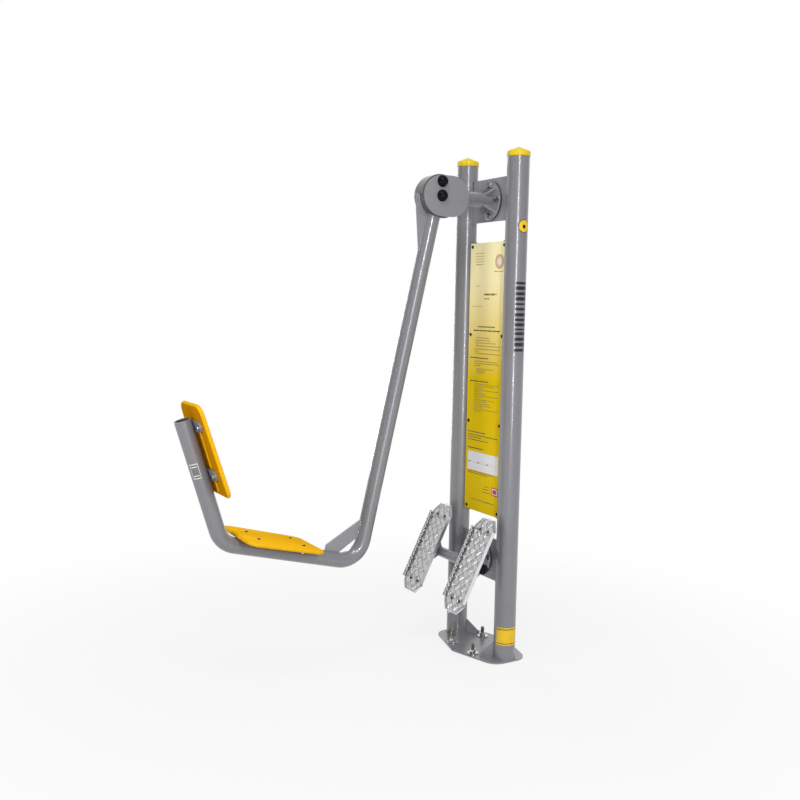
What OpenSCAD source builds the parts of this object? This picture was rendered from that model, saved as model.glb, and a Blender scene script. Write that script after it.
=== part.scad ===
// Outdoor leg press for a street gym: a two post pylon carries a swinging seat frame and fixed pedals.
// Origin on the ground in the middle of the base plate, +X from the seat towards the pylon, +Z up.

/* [Pylon] */
// Outer diameter of each post
post_d = 88.9; // [82:0.1:96]
// Wall of each post
post_wall = 3.6; // [2.5:0.1:6]
// Distance between the post axes
post_spacing = 350; // [330:1:390]
// Height of the posts above the ground
post_top_z = 2046; // [2000:1:2200]
// Thickness of the base plate
base_t = 6; // [5:1:12]
// Width of the base plate across its waist
base_waist_w = 282; // [260:1:340]
// Width of the base plate at its two ends
base_end_w = 160; // [130:1:190]
// Length of the base plate along the row of posts
base_len = 440; // [440:1:500]
// Corner radius of the base plate at its waist
base_waist_r = 28; // [20:1:50]
// Corner radius of the base plate at its ends
base_end_r = 60; // [20:1:80]
// Height of a foot rib above the base plate
foot_rib_h = 63; // [40:1:90]
// How far a foot rib runs out from its post
foot_rib_reach = 56; // [40:1:60]
// Thickness of a foot rib
foot_rib_t = 6; // [4:1:10]
// Height of the blunt outer end of a foot rib
foot_rib_nose = 8; // [4:1:20]
// Turn of a foot rib away from the X axis
foot_rib_turn = 40; // [30:1:50]
// Height of the cap skirt that grips a post
cap_skirt_h = 12; // [8:1:25]
// Wall of the cap skirt
cap_t = 1.8; // [1.2:0.1:3]
// Height of the cap's flat rim above the post end
cap_rim_h = 8; // [2:0.5:12]
// Rise of the cap's cone above its rim
cap_rise = 19; // [10:1:35]

/* [Ground anchors] */
// Diameter of an anchor stud
stud_d = 16; // [12:1:20]
// Spacing of the studs along X
stud_span_x = 156; // [140:1:190]
// Spacing of the studs along Y
stud_span_y = 150; // [130:1:170]
// Shift of the studs along X, away from the middle of the base plate
stud_shift_x = -9; // [-15:1:15]
// Stud thread left free above its nut
stud_free = 26; // [10:1:40]
// How much thinner the free thread is than the stud in its nut
stud_relief = 0.5; // [0.4:0.1:1]
// Outer diameter of an anchor washer
stud_washer_d = 48; // [36:1:50]
// Thickness of an anchor washer
stud_washer_t = 4; // [2:0.5:6]

/* [Information board] */
// Width of the board
board_w = 250; // [240:1:258]
// Distance of the board's upper edge below the post ends
board_drop = 336; // [306:1:460]
// Height of the board's lower edge above the ground
board_bottom_z = 580; // [560:1:600]
// Thickness of the board
board_t = 6; // [4:1:10]
// Distance of a board screw from the edge beside it
board_screw_inset = 15; // [12:1:20]
// Diameter of a board screw
board_screw_d = 8; // [6:1:10]
// Number of screws down each side of the board
board_screw_rows = 4; // [2:1:6]
// Thickness of a board lug
lug_t = 5; // [4:1:8]
// Height of a board lug
lug_h = 40; // [26:1:60]
// How far a board lug reaches behind the board
lug_lap = 30; // [24:1:45]

/* [Brackets and flanges] */
// Distance of the seat support axis below the post ends
arm_drop = 169; // [146:1:186]
// Height of the pedal support axis above the ground
pedal_arm_z = 399; // [380:1:430]
// Height of a bracket plate
bracket_h = 174; // [170:1:220]
// Height of the top bracket plate's middle above the seat support axis
top_bracket_lift = 3; // [0:1:4]
// Thickness of a bracket plate
bracket_t = 10; // [6:1:14]
// Diameter of a mounting flange
flange_d = 160; // [152:1:164]
// Thickness of a mounting flange
flange_t = 8; // [6:1:12]
// Bolt circle diameter of a flange
flange_pcd = 124; // [118:1:128]
// Diameter of a flange bolt
flange_bolt_d = 16; // [12:1:18]
// Outer diameter of a flange washer
flange_washer_d = 30; // [28:1:32]
// Thickness of a flange washer
flange_washer_t = 3; // [2:0.5:4]
// Leg of the gussets between a flange and its tube
flange_gusset_leg = 40; // [25:1:44]
// Thickness of a flange gusset
flange_gusset_t = 8; // [5:1:12]

/* [Hub] */
// Outer diameter of the support tube and of the swing tube
tube_d = 60.3; // [54:0.1:66]
// Wall of the support tube and of the swing tube
tube_wall = 4; // [3:0.1:6]
// Reach of the pivot from the middle of the bracket plates
pivot_reach = 265; // [250:1:300]
// Clear distance between the two hub plates
hub_gap = 60; // [58:0.1:60.2]
// Thickness of a hub plate
hub_plate_t = 10; // [6:1:14]
// End radius of a hub plate
hub_plate_r = 80; // [74:1:80]
// Distance between the centres of a hub plate's two round ends
hub_plate_shift = 48; // [30:1:60]
// Outer radius of the drum
drum_r = 84; // [81:0.5:88]
// Wall of the drum
drum_wall = 6; // [4:1:8]
// Clearance between the drum and each hub plate
drum_side_gap = 1; // [0.5:0.1:2]
// Clearance between the drum and the end of the support tube
drum_end_gap = 1.5; // [1:0.1:5]
// Diameter of the pivot shaft between the hub plates
shaft_d = 30; // [24:1:34]
// Diameter of the threaded ends of the shaft and of the stop bolt
hub_thread_d = 16; // [12:1:16]
// Height of the stop bolt above the pivot
stop_rise = 56; // [54:1:58]
// Outer diameter of the rubber stop sleeve
stop_sleeve_d = 30; // [26:1:32]
// Diameter of the stop bolt inside its sleeve
stop_bolt_d = 20; // [18:1:22]
// Furthest swing of the seat frame away from the pylon
swing_travel = 35; // [20:1:50]
// Outer diameter of a dome cap
dome_d = 47; // [42:1:50]
// Outer diameter of a pivot bush
bush_d = 38; // [37:1:42]
// Diameter of the bush collar
bush_collar_d = 48; // [44:1:54]
// Length of a pivot bush without its collar
bush_len = 22; // [12:1:24]
// Thickness of the bush collar
bush_collar_t = 3; // [2:0.1:4]
// Running clearance between bush and shaft, on the radius
bush_play = 0.05; // [0.02:0.01:0.1]
// Outer diameter of the bearing hub inside the drum
bearing_hub_d = 50; // [46:1:54]
// Thickness of the stop fins and webs inside the drum
fin_t = 10; // [8:1:12]

/* [Swing frame] */
// Height of the swing tube's lower corner above the ground
swing_corner_z = 437.7; // [400:0.1:500]
// Lean of the long arm from the vertical
swing_arm_tilt = 12.92; // [10:0.01:15]
// Length of the seat leg between its two corners
seat_leg = 578.5; // [560:0.1:640]
// Slope of the seat leg down towards the pylon
seat_slope = 13.95; // [8:0.01:18]
// Length of the back leg from its corner to the open end
back_leg = 478; // [440:0.1:560]
// Lean of the back leg from the vertical
back_tilt = 17.3; // [12:0.01:24]
// Bend radius of the tube on its centreline
bend_r = 90; // [80:1:110]
// Thickness of the corner brace
brace_t = 8; // [5:1:12]
// Distance from the lower corner to the brace's near end on the seat leg
brace_seat_near = 103; // [92:1:115]
// Distance from the lower corner to the brace's far end on the seat leg
brace_seat_far = 157; // [150:1:164]
// Distance from the lower corner to the brace's near end on the long arm
brace_arm_near = 104; // [92:1:115]
// Distance from the lower corner to the brace's far end on the long arm
brace_arm_far = 171; // [150:1:220]
// Height of the brace's blunt end above the seat leg
brace_nose = 21; // [10:1:40]
// Reach of the hub gusset from the pivot
gusset_reach = 98; // [88:1:110]
// Length of the hub gusset down the long arm
gusset_len = 228; // [180:1:300]
// Height of the hub gusset's top above the pivot
gusset_top = 7; // [0:1:20]
// Thickness of the hub gusset
gusset_t = 8; // [5:1:12]
// Depth of the end plug below the tube's rim
plug_sink = 4; // [2:0.5:10]
// Thickness of the end plug
plug_t = 10; // [4:1:20]

/* [Seat and backrest] */
// Thickness of both boards
pad_t = 15; // [12:1:20]
// Corner radius of the seat board
seat_corner_r = 42; // [20:1:45]
// Upper corner radius of the backrest board
backrest_top_r = 42; // [15:1:50]
// Lower corner radius of the backrest board
backrest_low_r = 24; // [15:1:45]
// Length of the seat board
seat_len = 320; // [300:1:340]
// Width of the seat board at the back
seat_rear_w = 320; // [290:1:350]
// Width of the seat board at the front
seat_front_w = 258; // [220:1:290]
// Distance of the seat's bolt centre from the rear corner of the tube
seat_from_corner = 204; // [190:1:220]
// Length of the backrest board
backrest_len = 344; // [310:1:360]
// Width of the backrest board at the bottom
backrest_low_w = 264; // [240:1:300]
// Width of the backrest board at the top
backrest_top_w = 214; // [190:1:260]
// Distance of the backrest's bolt centre from the rear corner of the tube
backrest_from_corner = 355; // [340:1:365]
// Bolt spacing of both boards along the tube
pad_bolt_span_s = 184; // [160:1:200]
// Bolt spacing of both boards across the tube
pad_bolt_span_y = 127; // [110:1:140]
// Diameter of a board bolt
pad_bolt_d = 8; // [6:1:10]
// Width of a cross bar under a board
crossbar_strip_w = 40; // [30:1:50]
// Length of a cross bar under a board
crossbar_strip_len = 164; // [160:1:190]
// Thickness of a cross bar under a board
crossbar_strip_t = 8; // [6:1:10]
// Width of the gap over the tube between the two halves of a seat cross bar
seat_bar_split = 24; // [18:1:30]

/* [Pedals] */
// Outer diameter of the pedal crossbar
pedal_bar_d = 42.4; // [41:0.1:46]
// Wall of the pedal crossbar and of its support tube
pedal_bar_wall = 3.2; // [2.5:0.1:5]
// Outer diameter of the crossbar's support tube
pedal_support_d = 40; // [30:0.1:40]
// Length of the pedal crossbar without its caps
pedal_bar_len = 386; // [386:1:440]
// Reach of the crossbar axis from the middle of the bracket plates
pedal_reach = 130; // [120:1:160]
// Distance of each pedal from the middle
pedal_offset = 158.4; // [145:0.1:175]
// Lean of the pedals from the vertical
pedal_tilt = 26.46; // [15:0.01:35]
// Length of a pedal
pedal_len = 400; // [370:1:430]
// Width of a pedal between its side flanges
pedal_w = 142; // [130:1:150]
// Length cut from a pedal's end by each corner
pedal_corner_len = 40; // [20:1:44]
// Width cut from a pedal's end by each corner
pedal_corner_w = 31; // [15:1:40]
// Thickness of the tread plate
pedal_t = 4; // [3:0.5:6]
// Height of the pedal's bent side flanges above the tread
pedal_flange_h = 15; // [8:1:25]
// Distance from the crossbar axis to the tread surface
pedal_standoff = 44; // [40:1:60]
// Shift of the pedal down its own plane from the crossbar axis
pedal_drop = 5; // [0:1:20]
// Thickness of the carrier plate behind the tread
carrier_t = 6; // [4:1:10]
// Width of the carrier plate
carrier_w = 90; // [75:1:110]
// Length of the carrier plate
carrier_len = 330; // [320:1:360]
// Thickness of the carrier's two ribs
carrier_rib_t = 6; // [4:1:10]
// Length of a carrier rib where it meets the carrier plate
carrier_rib_len = 110; // [80:1:260]
// Screw spacing along a pedal
pedal_screw_span_s = 297.7; // [280:0.1:305]
// Screw spacing across a pedal
pedal_screw_span_y = 53.4; // [45:0.1:60]
// Diameter of a pedal screw
pedal_screw_d = 6; // [5:1:8]

/* [Hidden] */
$fn = 96;
// Facets round the bent swing tube in the preview mesh
tube_facets = 60;
// Overrun of every cut past the face it cuts
cut = 1;
// How far the straight runs of a bent tube lap into its bends
seam_lap = 0.05;
// Play round a piece that sits in or against the bent tube
fit_play = 0.1;
// Side of a hexagon's flat to its corner
hex_flat_share = cos(30);
// How deep a plate's root lies in the tube that it is coped to, as a share of the tube radius
root_share = 0.8;

// Finishes
steel_paint = "#9b9b9f";
cap_yellow = "#f3c60d";
pad_orange = "#f2b20f";
tread_alu = "#c8cbd0";
zinc = "#b4b8bd";
black_trim = "#1b1b1d";
rubber_black = "#26262a";
board_yellow = "#e9c93c";
bush_bronze = "#a9793f";

// Proportions of nuts and heads as shares of the thread diameter
nut_af_share = 1.5;
nut_h_share = 0.8125;
head_h_share = 0.625;
thread_end_share = 0.25;
button_d_share = 1.75;
button_h_share = 0.55;
socket_af_share = 0.625;
socket_depth_share = 0.35;

// Pylon
post_r = post_d / 2;
post_y = post_spacing / 2;
cap_r = post_r + cap_t;
cap_screw_d = 4;
cap_screw_head_d = 8;
cap_screw_head_h = 1.6;
cap_screw_z = post_top_z - cap_skirt_h / 2;
base_points = [
    [base_waist_w / 2, 0],
    [base_end_w / 2, base_len / 2],
    [-base_end_w / 2, base_len / 2],
    [-base_waist_w / 2, 0],
    [-base_end_w / 2, -base_len / 2],
    [base_end_w / 2, -base_len / 2]
];
base_radii = [for (p = base_points) p[1] == 0 ? base_waist_r : base_end_r];

// Ground anchors
stud_nut_h = stud_d * nut_h_share;
stud_nut_z = base_t + stud_washer_t;
stud_top_z = stud_nut_z + stud_nut_h + stud_free;

// Information board
board_h = post_top_z - board_drop - board_bottom_z;
board_back_x = -lug_t / 2;
board_front_x = board_back_x - board_t;
board_screw_y = board_w / 2 - board_screw_inset;
board_screw_pitch = (board_h - board_screw_inset * 2) / (board_screw_rows - 1);
board_screw_heights = [
    for (i = [0:board_screw_rows - 1]) board_bottom_z + board_screw_inset + i * board_screw_pitch
];

// Hub, seen in the upright plane through the swing frame
arm_z = post_top_z - arm_drop;
pivot = [-pivot_reach, arm_z];
stop_centre = pivot + [0, stop_rise];
hub_plate_y = hub_gap / 2;
hub_thread_out = hub_plate_t + hub_thread_d * (head_h_share + thread_end_share / 2);
hub_nut_h = hub_thread_d * head_h_share;
dome_pocket_r = hub_thread_d * nut_af_share / 2 / hex_flat_share + bush_play;
dome_pocket_h = hub_thread_out - hub_plate_t + bush_play * 4;
drum_w = hub_gap - drum_side_gap * 2;
drum_inner_r = drum_r - drum_wall;
bearing_hub_w = drum_w - bush_collar_t * 2;
stop_rest_gap = 0.3;
// Angle between the stop bolt and a fin that touches its sleeve
stop_fin_angle = asin((stop_sleeve_d / 2 + fin_t / 2 + stop_rest_gap) / stop_rise);
web_turns = [-120, 155, -167];

// Flanges
flange_front_x = -bracket_t / 2 - flange_t;
flange_bolt_head_x = flange_front_x - flange_washer_t;
flange_nut_x = bracket_t / 2 + flange_washer_t;

// Swing frame, as points in the upright plane
tube_r = tube_d / 2;
swing_arm_len = (arm_z - swing_corner_z) / cos(swing_arm_tilt);
lower_corner = pivot - swing_arm_len * [sin(swing_arm_tilt), cos(swing_arm_tilt)];
rear_corner = lower_corner + seat_leg * [-cos(seat_slope), sin(seat_slope)];
back_end = rear_corner + back_leg * [-sin(back_tilt), cos(back_tilt)];
swing_route = [back_end, rear_corner, lower_corner, pivot];

// Boards
pad_clear = 0.3;
bar_lap = 0.65;
seat_under = tube_r + pad_clear;
backrest_under = tube_r - bar_lap + crossbar_strip_t;
pad_nut_h = pad_bolt_d * nut_h_share;

// Pedals
pedal_bar_r = pedal_bar_d / 2;
pedal_support_r = pedal_support_d / 2;
carrier_top = pedal_standoff - pedal_t;
carrier_under = carrier_top - carrier_t;
pedal_end_cap_h = 9;
pedal_cap_plug_len = 18;
carrier_rib_y = carrier_w / 3;
pedal_flange_len = pedal_len - pedal_corner_len * 2 - pedal_flange_h;

function unit(v) = v / norm(v);
function heading(a, b) = atan2(b.y - a.y, b.x - a.x);
function along(angle) = [cos(angle), sin(angle)];
function left_of(angle) = [-sin(angle), cos(angle)];

// Corners of a convex outline, each rounded by its own radius
function before(points, i) = unit(points[(i + len(points) - 1) % len(points)] - points[i]);
function after(points, i) = unit(points[(i + 1) % len(points)] - points[i]);
function half_corner(points, i) = acos(before(points, i) * after(points, i)) / 2;
function setback(points, radii, i) = radii[i] / tan(half_corner(points, i));
function round_centre(points, radii, i) =
    points[i] + unit(before(points, i) + after(points, i)) * radii[i] / sin(half_corner(points, i));

module rounded_outline(points, radii) {
    polygon([
        for (i = [0:len(points) - 1])
            each [
                points[i] + before(points, i) * setback(points, radii, i),
                points[i] + after(points, i) * setback(points, radii, i)
            ]
    ]);
    for (i = [0:len(points) - 1])
        translate(round_centre(points, radii, i))
            circle(r = radii[i]);
}

// A flat shape stood up in the plane of the swing frame, centred on it
module upright(thickness) {
    rotate([90, 0, 0])
        linear_extrude(thickness, center = true)
            children();
}

module hexagon_prism(flats, height) {
    cylinder(r = flats / 2 / hex_flat_share, h = height, $fn = 6);
}

module hex_nut(thread_d, height) {
    difference() {
        hexagon_prism(thread_d * nut_af_share, height);
        translate([0, 0, -cut])
            cylinder(d = thread_d, h = height + cut * 2);
    }
}

module flat_washer(outer_d, bore_d, thickness) {
    difference() {
        cylinder(d = outer_d, h = thickness);
        translate([0, 0, -cut])
            cylinder(d = bore_d, h = thickness + cut * 2);
    }
}

// Screw whose head sits on z = 0 and whose shank hangs below it
module button_screw(thread_d, shank_len) {
    head_h = thread_d * button_h_share;
    socket_depth = thread_d * socket_depth_share;
    difference() {
        union() {
            cylinder(d1 = thread_d * button_d_share, d2 = thread_d, h = head_h);
            translate([0, 0, -shank_len])
                cylinder(d = thread_d, h = shank_len + head_h / 2);
        }
        translate([0, 0, head_h - socket_depth])
            hexagon_prism(thread_d * socket_af_share, socket_depth + cut);
    }
}

// Straight rod between two points of the upright plane
module rod(a, b, r) {
    translate([a.x, 0, a.y])
        rotate([0, 90 - heading(a, b), 0])
            cylinder(r = r, h = norm(b - a));
}

// Rod along a route that turns left at each inner point
module bent_rod(route, radius, r, end_run) {
    last = len(route) - 1;
    headings = [for (i = [0:last - 1]) heading(route[i], route[i + 1])];
    turns = [for (i = [1:last - 1]) headings[i] - headings[i - 1]];
    trims = [for (t = turns) radius * tan(t / 2)];
    for (i = [0:last - 1]) {
        start_trim = i == 0 ? -end_run : trims[i - 1] - seam_lap;
        end_trim = i == last - 1 ? 0 : trims[i] - seam_lap;
        rod(
            route[i] + along(headings[i]) * start_trim,
            route[i + 1] - along(headings[i]) * end_trim,
            r
        );
    }
    for (i = [1:last - 1]) {
        bend_start = route[i] - along(headings[i - 1]) * trims[i - 1];
        bend_centre = bend_start + left_of(headings[i - 1]) * radius;
        translate([bend_centre.x, 0, bend_centre.y])
            rotate([90, 0, 0])
                rotate([0, 0, headings[i - 1] - 90])
                    rotate_extrude(angle = turns[i - 1])
                        translate([radius, 0])
                            circle(r = r);
    }
}

module both_posts() {
    for (side = [-1, 1])
        translate([0, side * post_y, 0])
            children();
}

module at_studs() {
    for (x = [-1, 1], y = [-1, 1])
        translate([x * stud_span_x / 2 + stud_shift_x, y * stud_span_y / 2, 0])
            children();
}

// Base plate and posts
module base_plate() {
    color(steel_paint)
        difference() {
            linear_extrude(base_t)
                rounded_outline(base_points, base_radii);
            at_studs()
                translate([0, 0, -cut])
                    cylinder(d = stud_d, h = base_t + cut * 2);
        }
}

module cap_screw_hole() {
    translate([0, 0, cap_screw_z])
        rotate([0, -90, 0])
            cylinder(d = cap_screw_d, h = cap_r + cut);
}

module post() {
    color(steel_paint)
        difference() {
            translate([0, 0, base_t])
                cylinder(r = post_r, h = post_top_z - base_t);
            translate([0, 0, base_t - cut])
                cylinder(r = post_r - post_wall, h = post_top_z - base_t + cut * 2);
            cap_screw_hole();
        }
}

module near_post() {
    translate([0, -post_y, 0])
        post();
}

module far_post() {
    translate([0, post_y, 0])
        post();
}

module foot_rib(turn) {
    rib_end = post_r + foot_rib_reach;
    difference() {
        translate([0, 0, base_t])
            rotate([0, 0, turn])
                upright(foot_rib_t)
                    polygon([
                        [post_r / 2, 0],
                        [rib_end, 0],
                        [rib_end, foot_rib_nose],
                        [post_r, foot_rib_h],
                        [post_r / 2, foot_rib_h]
                    ]);
        cylinder(r = post_r, h = base_t + foot_rib_h + cut);
    }
}

module post_foot_ribs() {
    color(steel_paint)
        for (side = [-1, 1])
            translate([0, side * post_y, 0])
                for (turn = [foot_rib_turn, 180 - foot_rib_turn])
                    foot_rib(-side * turn);
}

module post_cap() {
    skirt_z = post_top_z - cap_skirt_h;
    rim_z = post_top_z + cap_rim_h;
    color(cap_yellow)
        difference() {
            rotate_extrude()
                polygon([
                    [post_r, skirt_z],
                    [cap_r, skirt_z],
                    [cap_r, rim_z],
                    [0, rim_z + cap_rise],
                    [0, post_top_z],
                    [post_r, post_top_z]
                ]);
            cap_screw_hole();
        }
}

module near_post_cap() {
    translate([0, -post_y, 0])
        post_cap();
}

module far_post_cap() {
    translate([0, post_y, 0])
        post_cap();
}

module post_cap_screws() {
    color(zinc)
        both_posts()
            translate([-cap_r, 0, cap_screw_z])
                rotate([0, -90, 0]) {
                    cylinder(d = cap_screw_head_d, h = cap_screw_head_h);
                    translate([0, 0, -cap_t - post_wall])
                        cylinder(d = cap_screw_d, h = cap_t + post_wall);
                }
}

// Ground anchors
module anchor_studs() {
    color(zinc)
        at_studs() {
            cylinder(d = stud_d, h = stud_nut_z + stud_nut_h);
            cylinder(d = stud_d - stud_relief, h = stud_top_z);
        }
}

module anchor_washers() {
    color(zinc)
        at_studs()
            translate([0, 0, base_t])
                flat_washer(stud_washer_d, stud_d, stud_washer_t);
}

module anchor_nuts() {
    color(zinc)
        at_studs()
            translate([0, 0, stud_nut_z])
                hex_nut(stud_d, stud_nut_h);
}

// Information board between the posts
module at_board_screws() {
    for (side = [-1, 1], z = board_screw_heights)
        translate([board_front_x, side * board_screw_y, z])
            rotate([0, -90, 0])
                children();
}

module board_screw_holes() {
    at_board_screws()
        translate([0, 0, -board_t - lug_t - cut])
            cylinder(d = board_screw_d, h = board_t + lug_t + cut * 2);
}

module info_board() {
    color(board_yellow)
        difference() {
            translate([board_front_x, -board_w / 2, board_bottom_z])
                cube([board_t, board_w, board_h]);
            board_screw_holes();
        }
}

module board_lugs() {
    lug_inner_y = board_w / 2 - lug_lap;
    color(steel_paint)
        difference() {
            for (side = [-1, 1], z = board_screw_heights)
                translate([0, side * (lug_inner_y + post_y) / 2, z])
                    cube([lug_t, post_y - lug_inner_y, lug_h], center = true);
            both_posts()
                cylinder(r = post_r, h = post_top_z);
            board_screw_holes();
        }
}

module board_screws() {
    board_nut_h = board_screw_d * nut_h_share;
    shank = board_t + lug_t + board_nut_h + board_screw_d * thread_end_share;
    color(black_trim)
        at_board_screws()
            button_screw(board_screw_d, shank);
}

module board_nuts() {
    board_nut_h = board_screw_d * nut_h_share;
    color(zinc)
        at_board_screws()
            translate([0, 0, -board_t - lug_t - board_nut_h])
                hex_nut(board_screw_d, board_nut_h);
}

// Bracket plates and flanges, drawn round the X axis of each support
module at_flange_bolts() {
    for (turn = [0:90:270])
        rotate([turn, 0, 0])
            translate([0, 0, flange_pcd / 2])
                rotate([0, 90, 0])
                    children();
}

module flange_bolt_holes() {
    at_flange_bolts()
        translate([0, 0, flange_front_x - cut])
            cylinder(d = flange_bolt_d, h = flange_t + bracket_t + cut * 2);
}

// Bracket plate whose middle lies lift above the axis of its flange
module bracket_plate(lift) {
    color(steel_paint)
        difference() {
            translate([0, 0, lift])
                cube([bracket_t, post_spacing, bracket_h], center = true);
            for (side = [-1, 1])
                translate([0, side * post_y, lift])
                    cylinder(r = post_r, h = bracket_h + cut, center = true);
            flange_bolt_holes();
        }
}

module round_flange() {
    color(steel_paint)
        difference() {
            translate([flange_front_x, 0, 0])
                rotate([0, 90, 0])
                    cylinder(d = flange_d, h = flange_t);
            flange_bolt_holes();
        }
}

// Four triangular gussets between a flange and a tube of radius r
module flange_gussets(r) {
    color(steel_paint)
        for (turn = [45:90:315])
            rotate([turn, 0, 0])
                difference() {
                    upright(flange_gusset_t)
                        polygon([
                            [flange_front_x, r / 2],
                            [flange_front_x, r + flange_gusset_leg],
                            [flange_front_x - flange_gusset_leg, r],
                            [flange_front_x - flange_gusset_leg, r / 2]
                        ]);
                    rotate([0, -90, 0])
                        cylinder(r = r, h = flange_gusset_leg * 2 - flange_front_x);
                }
}

module at_supports() {
    for (z = [arm_z, pedal_arm_z])
        translate([0, 0, z])
            children();
}

module top_bracket_plate() {
    translate([0, 0, arm_z])
        bracket_plate(top_bracket_lift);
}

module lower_bracket_plate() {
    translate([0, 0, pedal_arm_z])
        bracket_plate(0);
}

module support_flange() {
    translate([0, 0, arm_z])
        round_flange();
}

module pedal_support_flange() {
    translate([0, 0, pedal_arm_z])
        round_flange();
}

module support_gussets() {
    translate([0, 0, arm_z])
        flange_gussets(tube_r);
}

module pedal_support_gussets() {
    translate([0, 0, pedal_arm_z])
        flange_gussets(pedal_support_r);
}

module flange_bolts() {
    bolt_head_h = flange_bolt_d * head_h_share;
    shank = flange_nut_x - flange_bolt_head_x + flange_bolt_d * (nut_h_share + thread_end_share);
    color(zinc)
        at_supports()
            at_flange_bolts()
                translate([0, 0, flange_bolt_head_x]) {
                    cylinder(d = flange_bolt_d, h = shank);
                    translate([0, 0, -bolt_head_h])
                        hexagon_prism(flange_bolt_d * nut_af_share, bolt_head_h);
                }
}

module flange_washers() {
    color(zinc)
        at_supports()
            at_flange_bolts()
                for (z = [flange_bolt_head_x, bracket_t / 2])
                    translate([0, 0, z])
                        flat_washer(flange_washer_d, flange_bolt_d, flange_washer_t);
}

module flange_nuts() {
    color(zinc)
        at_supports()
            at_flange_bolts()
                translate([0, 0, flange_nut_x])
                    hex_nut(flange_bolt_d, flange_bolt_d * nut_h_share);
}

// Support tube and the two hub plates at its end
module at_pivot() {
    translate([pivot.x, 0, pivot.y])
        rotate([90, 0, 0])
            children();
}

module at_stop() {
    translate([stop_centre.x, 0, stop_centre.y])
        rotate([90, 0, 0])
            children();
}

module hub_plate_shape() {
    for (shift = [0, hub_plate_shift])
        translate([shift, 0])
            circle(r = hub_plate_r);
    translate([0, -hub_plate_r])
        square([hub_plate_shift, hub_plate_r * 2]);
}

module hub_plate(side) {
    color(steel_paint)
        difference() {
            at_pivot()
                translate([0, 0, -side * (hub_plate_y + hub_plate_t / 2)])
                    linear_extrude(hub_plate_t, center = true)
                        hub_plate_shape();
            at_pivot()
                cylinder(d = hub_thread_d, h = hub_gap * 2, center = true);
            at_stop()
                cylinder(d = hub_thread_d, h = hub_gap * 2, center = true);
        }
}

module near_hub_plate() {
    hub_plate(-1);
}

module far_hub_plate() {
    hub_plate(1);
}

module support_tube() {
    color(steel_paint)
        difference() {
            translate([flange_front_x, 0, arm_z])
                rotate([0, -90, 0])
                    difference() {
                        cylinder(r = tube_r, h = pivot_reach + flange_front_x);
                        translate([0, 0, -cut])
                            cylinder(r = tube_r - tube_wall, h = pivot_reach);
                    }
            at_pivot()
                cylinder(r = drum_r + drum_end_gap, h = hub_gap * 2, center = true);
            at_pivot()
                for (side = [-1, 1])
                    translate([0, 0, side * (hub_plate_y + hub_plate_t / 2)])
                        linear_extrude(hub_plate_t, center = true)
                            hub_plate_shape();
        }
}

// Shaft or bolt clamped between the hub plates: a thick middle and two threaded ends
module shouldered_pin(middle_d) {
    cylinder(d = middle_d, h = hub_gap, center = true);
    cylinder(d = hub_thread_d, h = hub_gap + hub_thread_out * 2, center = true);
}

module pivot_shaft() {
    color(zinc)
        at_pivot()
            shouldered_pin(shaft_d);
}

module stop_bolt() {
    color(zinc)
        at_stop()
            shouldered_pin(stop_bolt_d);
}

module stop_sleeve() {
    color(rubber_black)
        at_stop()
            difference() {
                cylinder(d = stop_sleeve_d, h = drum_w, center = true);
                cylinder(d = stop_bolt_d, h = drum_w + cut, center = true);
            }
}

module on_hub_faces() {
    for (turn = [0, 180]) {
        at_pivot()
            rotate([turn, 0, 0])
                translate([0, 0, hub_plate_y + hub_plate_t])
                    children();
        at_stop()
            rotate([turn, 0, 0])
                translate([0, 0, hub_plate_y + hub_plate_t])
                    children();
    }
}

module hub_nuts() {
    color(zinc)
        on_hub_faces()
            hex_nut(hub_thread_d, hub_nut_h);
}

module hub_dome_caps() {
    color(black_trim)
        on_hub_faces()
            difference() {
                rotate_extrude()
                    intersection() {
                        circle(d = dome_d);
                        square(dome_d);
                    }
                translate([0, 0, -cut])
                    cylinder(r = dome_pocket_r, h = dome_pocket_h + cut);
            }
}

// Turning parts inside the hub
module pivot_bushes() {
    bush_inner = bearing_hub_w / 2 - bush_len;
    color(bush_bronze)
        at_pivot()
            for (turn = [0, 180])
                rotate([turn, 0, 0])
                    difference() {
                        union() {
                            translate([0, 0, bush_inner])
                                cylinder(d = bush_d, h = bush_len);
                            translate([0, 0, bearing_hub_w / 2])
                                cylinder(d = bush_collar_d, h = bush_collar_t);
                        }
                        cylinder(d = shaft_d + bush_play * 2, h = hub_gap);
                    }
}

module bearing_hub() {
    color(steel_paint)
        at_pivot()
            difference() {
                cylinder(d = bearing_hub_d, h = bearing_hub_w, center = true);
                cylinder(d = bush_d, h = bearing_hub_w + cut, center = true);
            }
}

module hub_drum() {
    color(steel_paint)
        at_pivot()
            difference() {
                cylinder(r = drum_r, h = drum_w, center = true);
                cylinder(r = drum_inner_r, h = drum_w + cut, center = true);
            }
}

// Radial plate inside the drum, turned from straight up towards the pylon
module drum_web(turn) {
    at_pivot()
        intersection() {
            rotate([0, 0, 90 - turn])
                translate([bearing_hub_d / 4, -fin_t / 2, -bearing_hub_w / 2])
                    cube([drum_r, fin_t, bearing_hub_w]);
            difference() {
                cylinder(r = drum_inner_r, h = drum_w, center = true);
                cylinder(d = bearing_hub_d, h = drum_w + cut, center = true);
            }
        }
}

module stop_fins() {
    color(steel_paint)
        for (turn = [stop_fin_angle, -stop_fin_angle - swing_travel])
            drum_web(turn);
}

module hub_webs() {
    color(steel_paint)
        for (turn = web_turns)
            drum_web(turn);
}

module drum_cut() {
    at_pivot()
        cylinder(r = drum_r + fit_play, h = hub_gap * 2, center = true);
}

module swing_tube_solid() {
    bent_rod(swing_route, bend_r, tube_r, 0, $fn = tube_facets);
}

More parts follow.
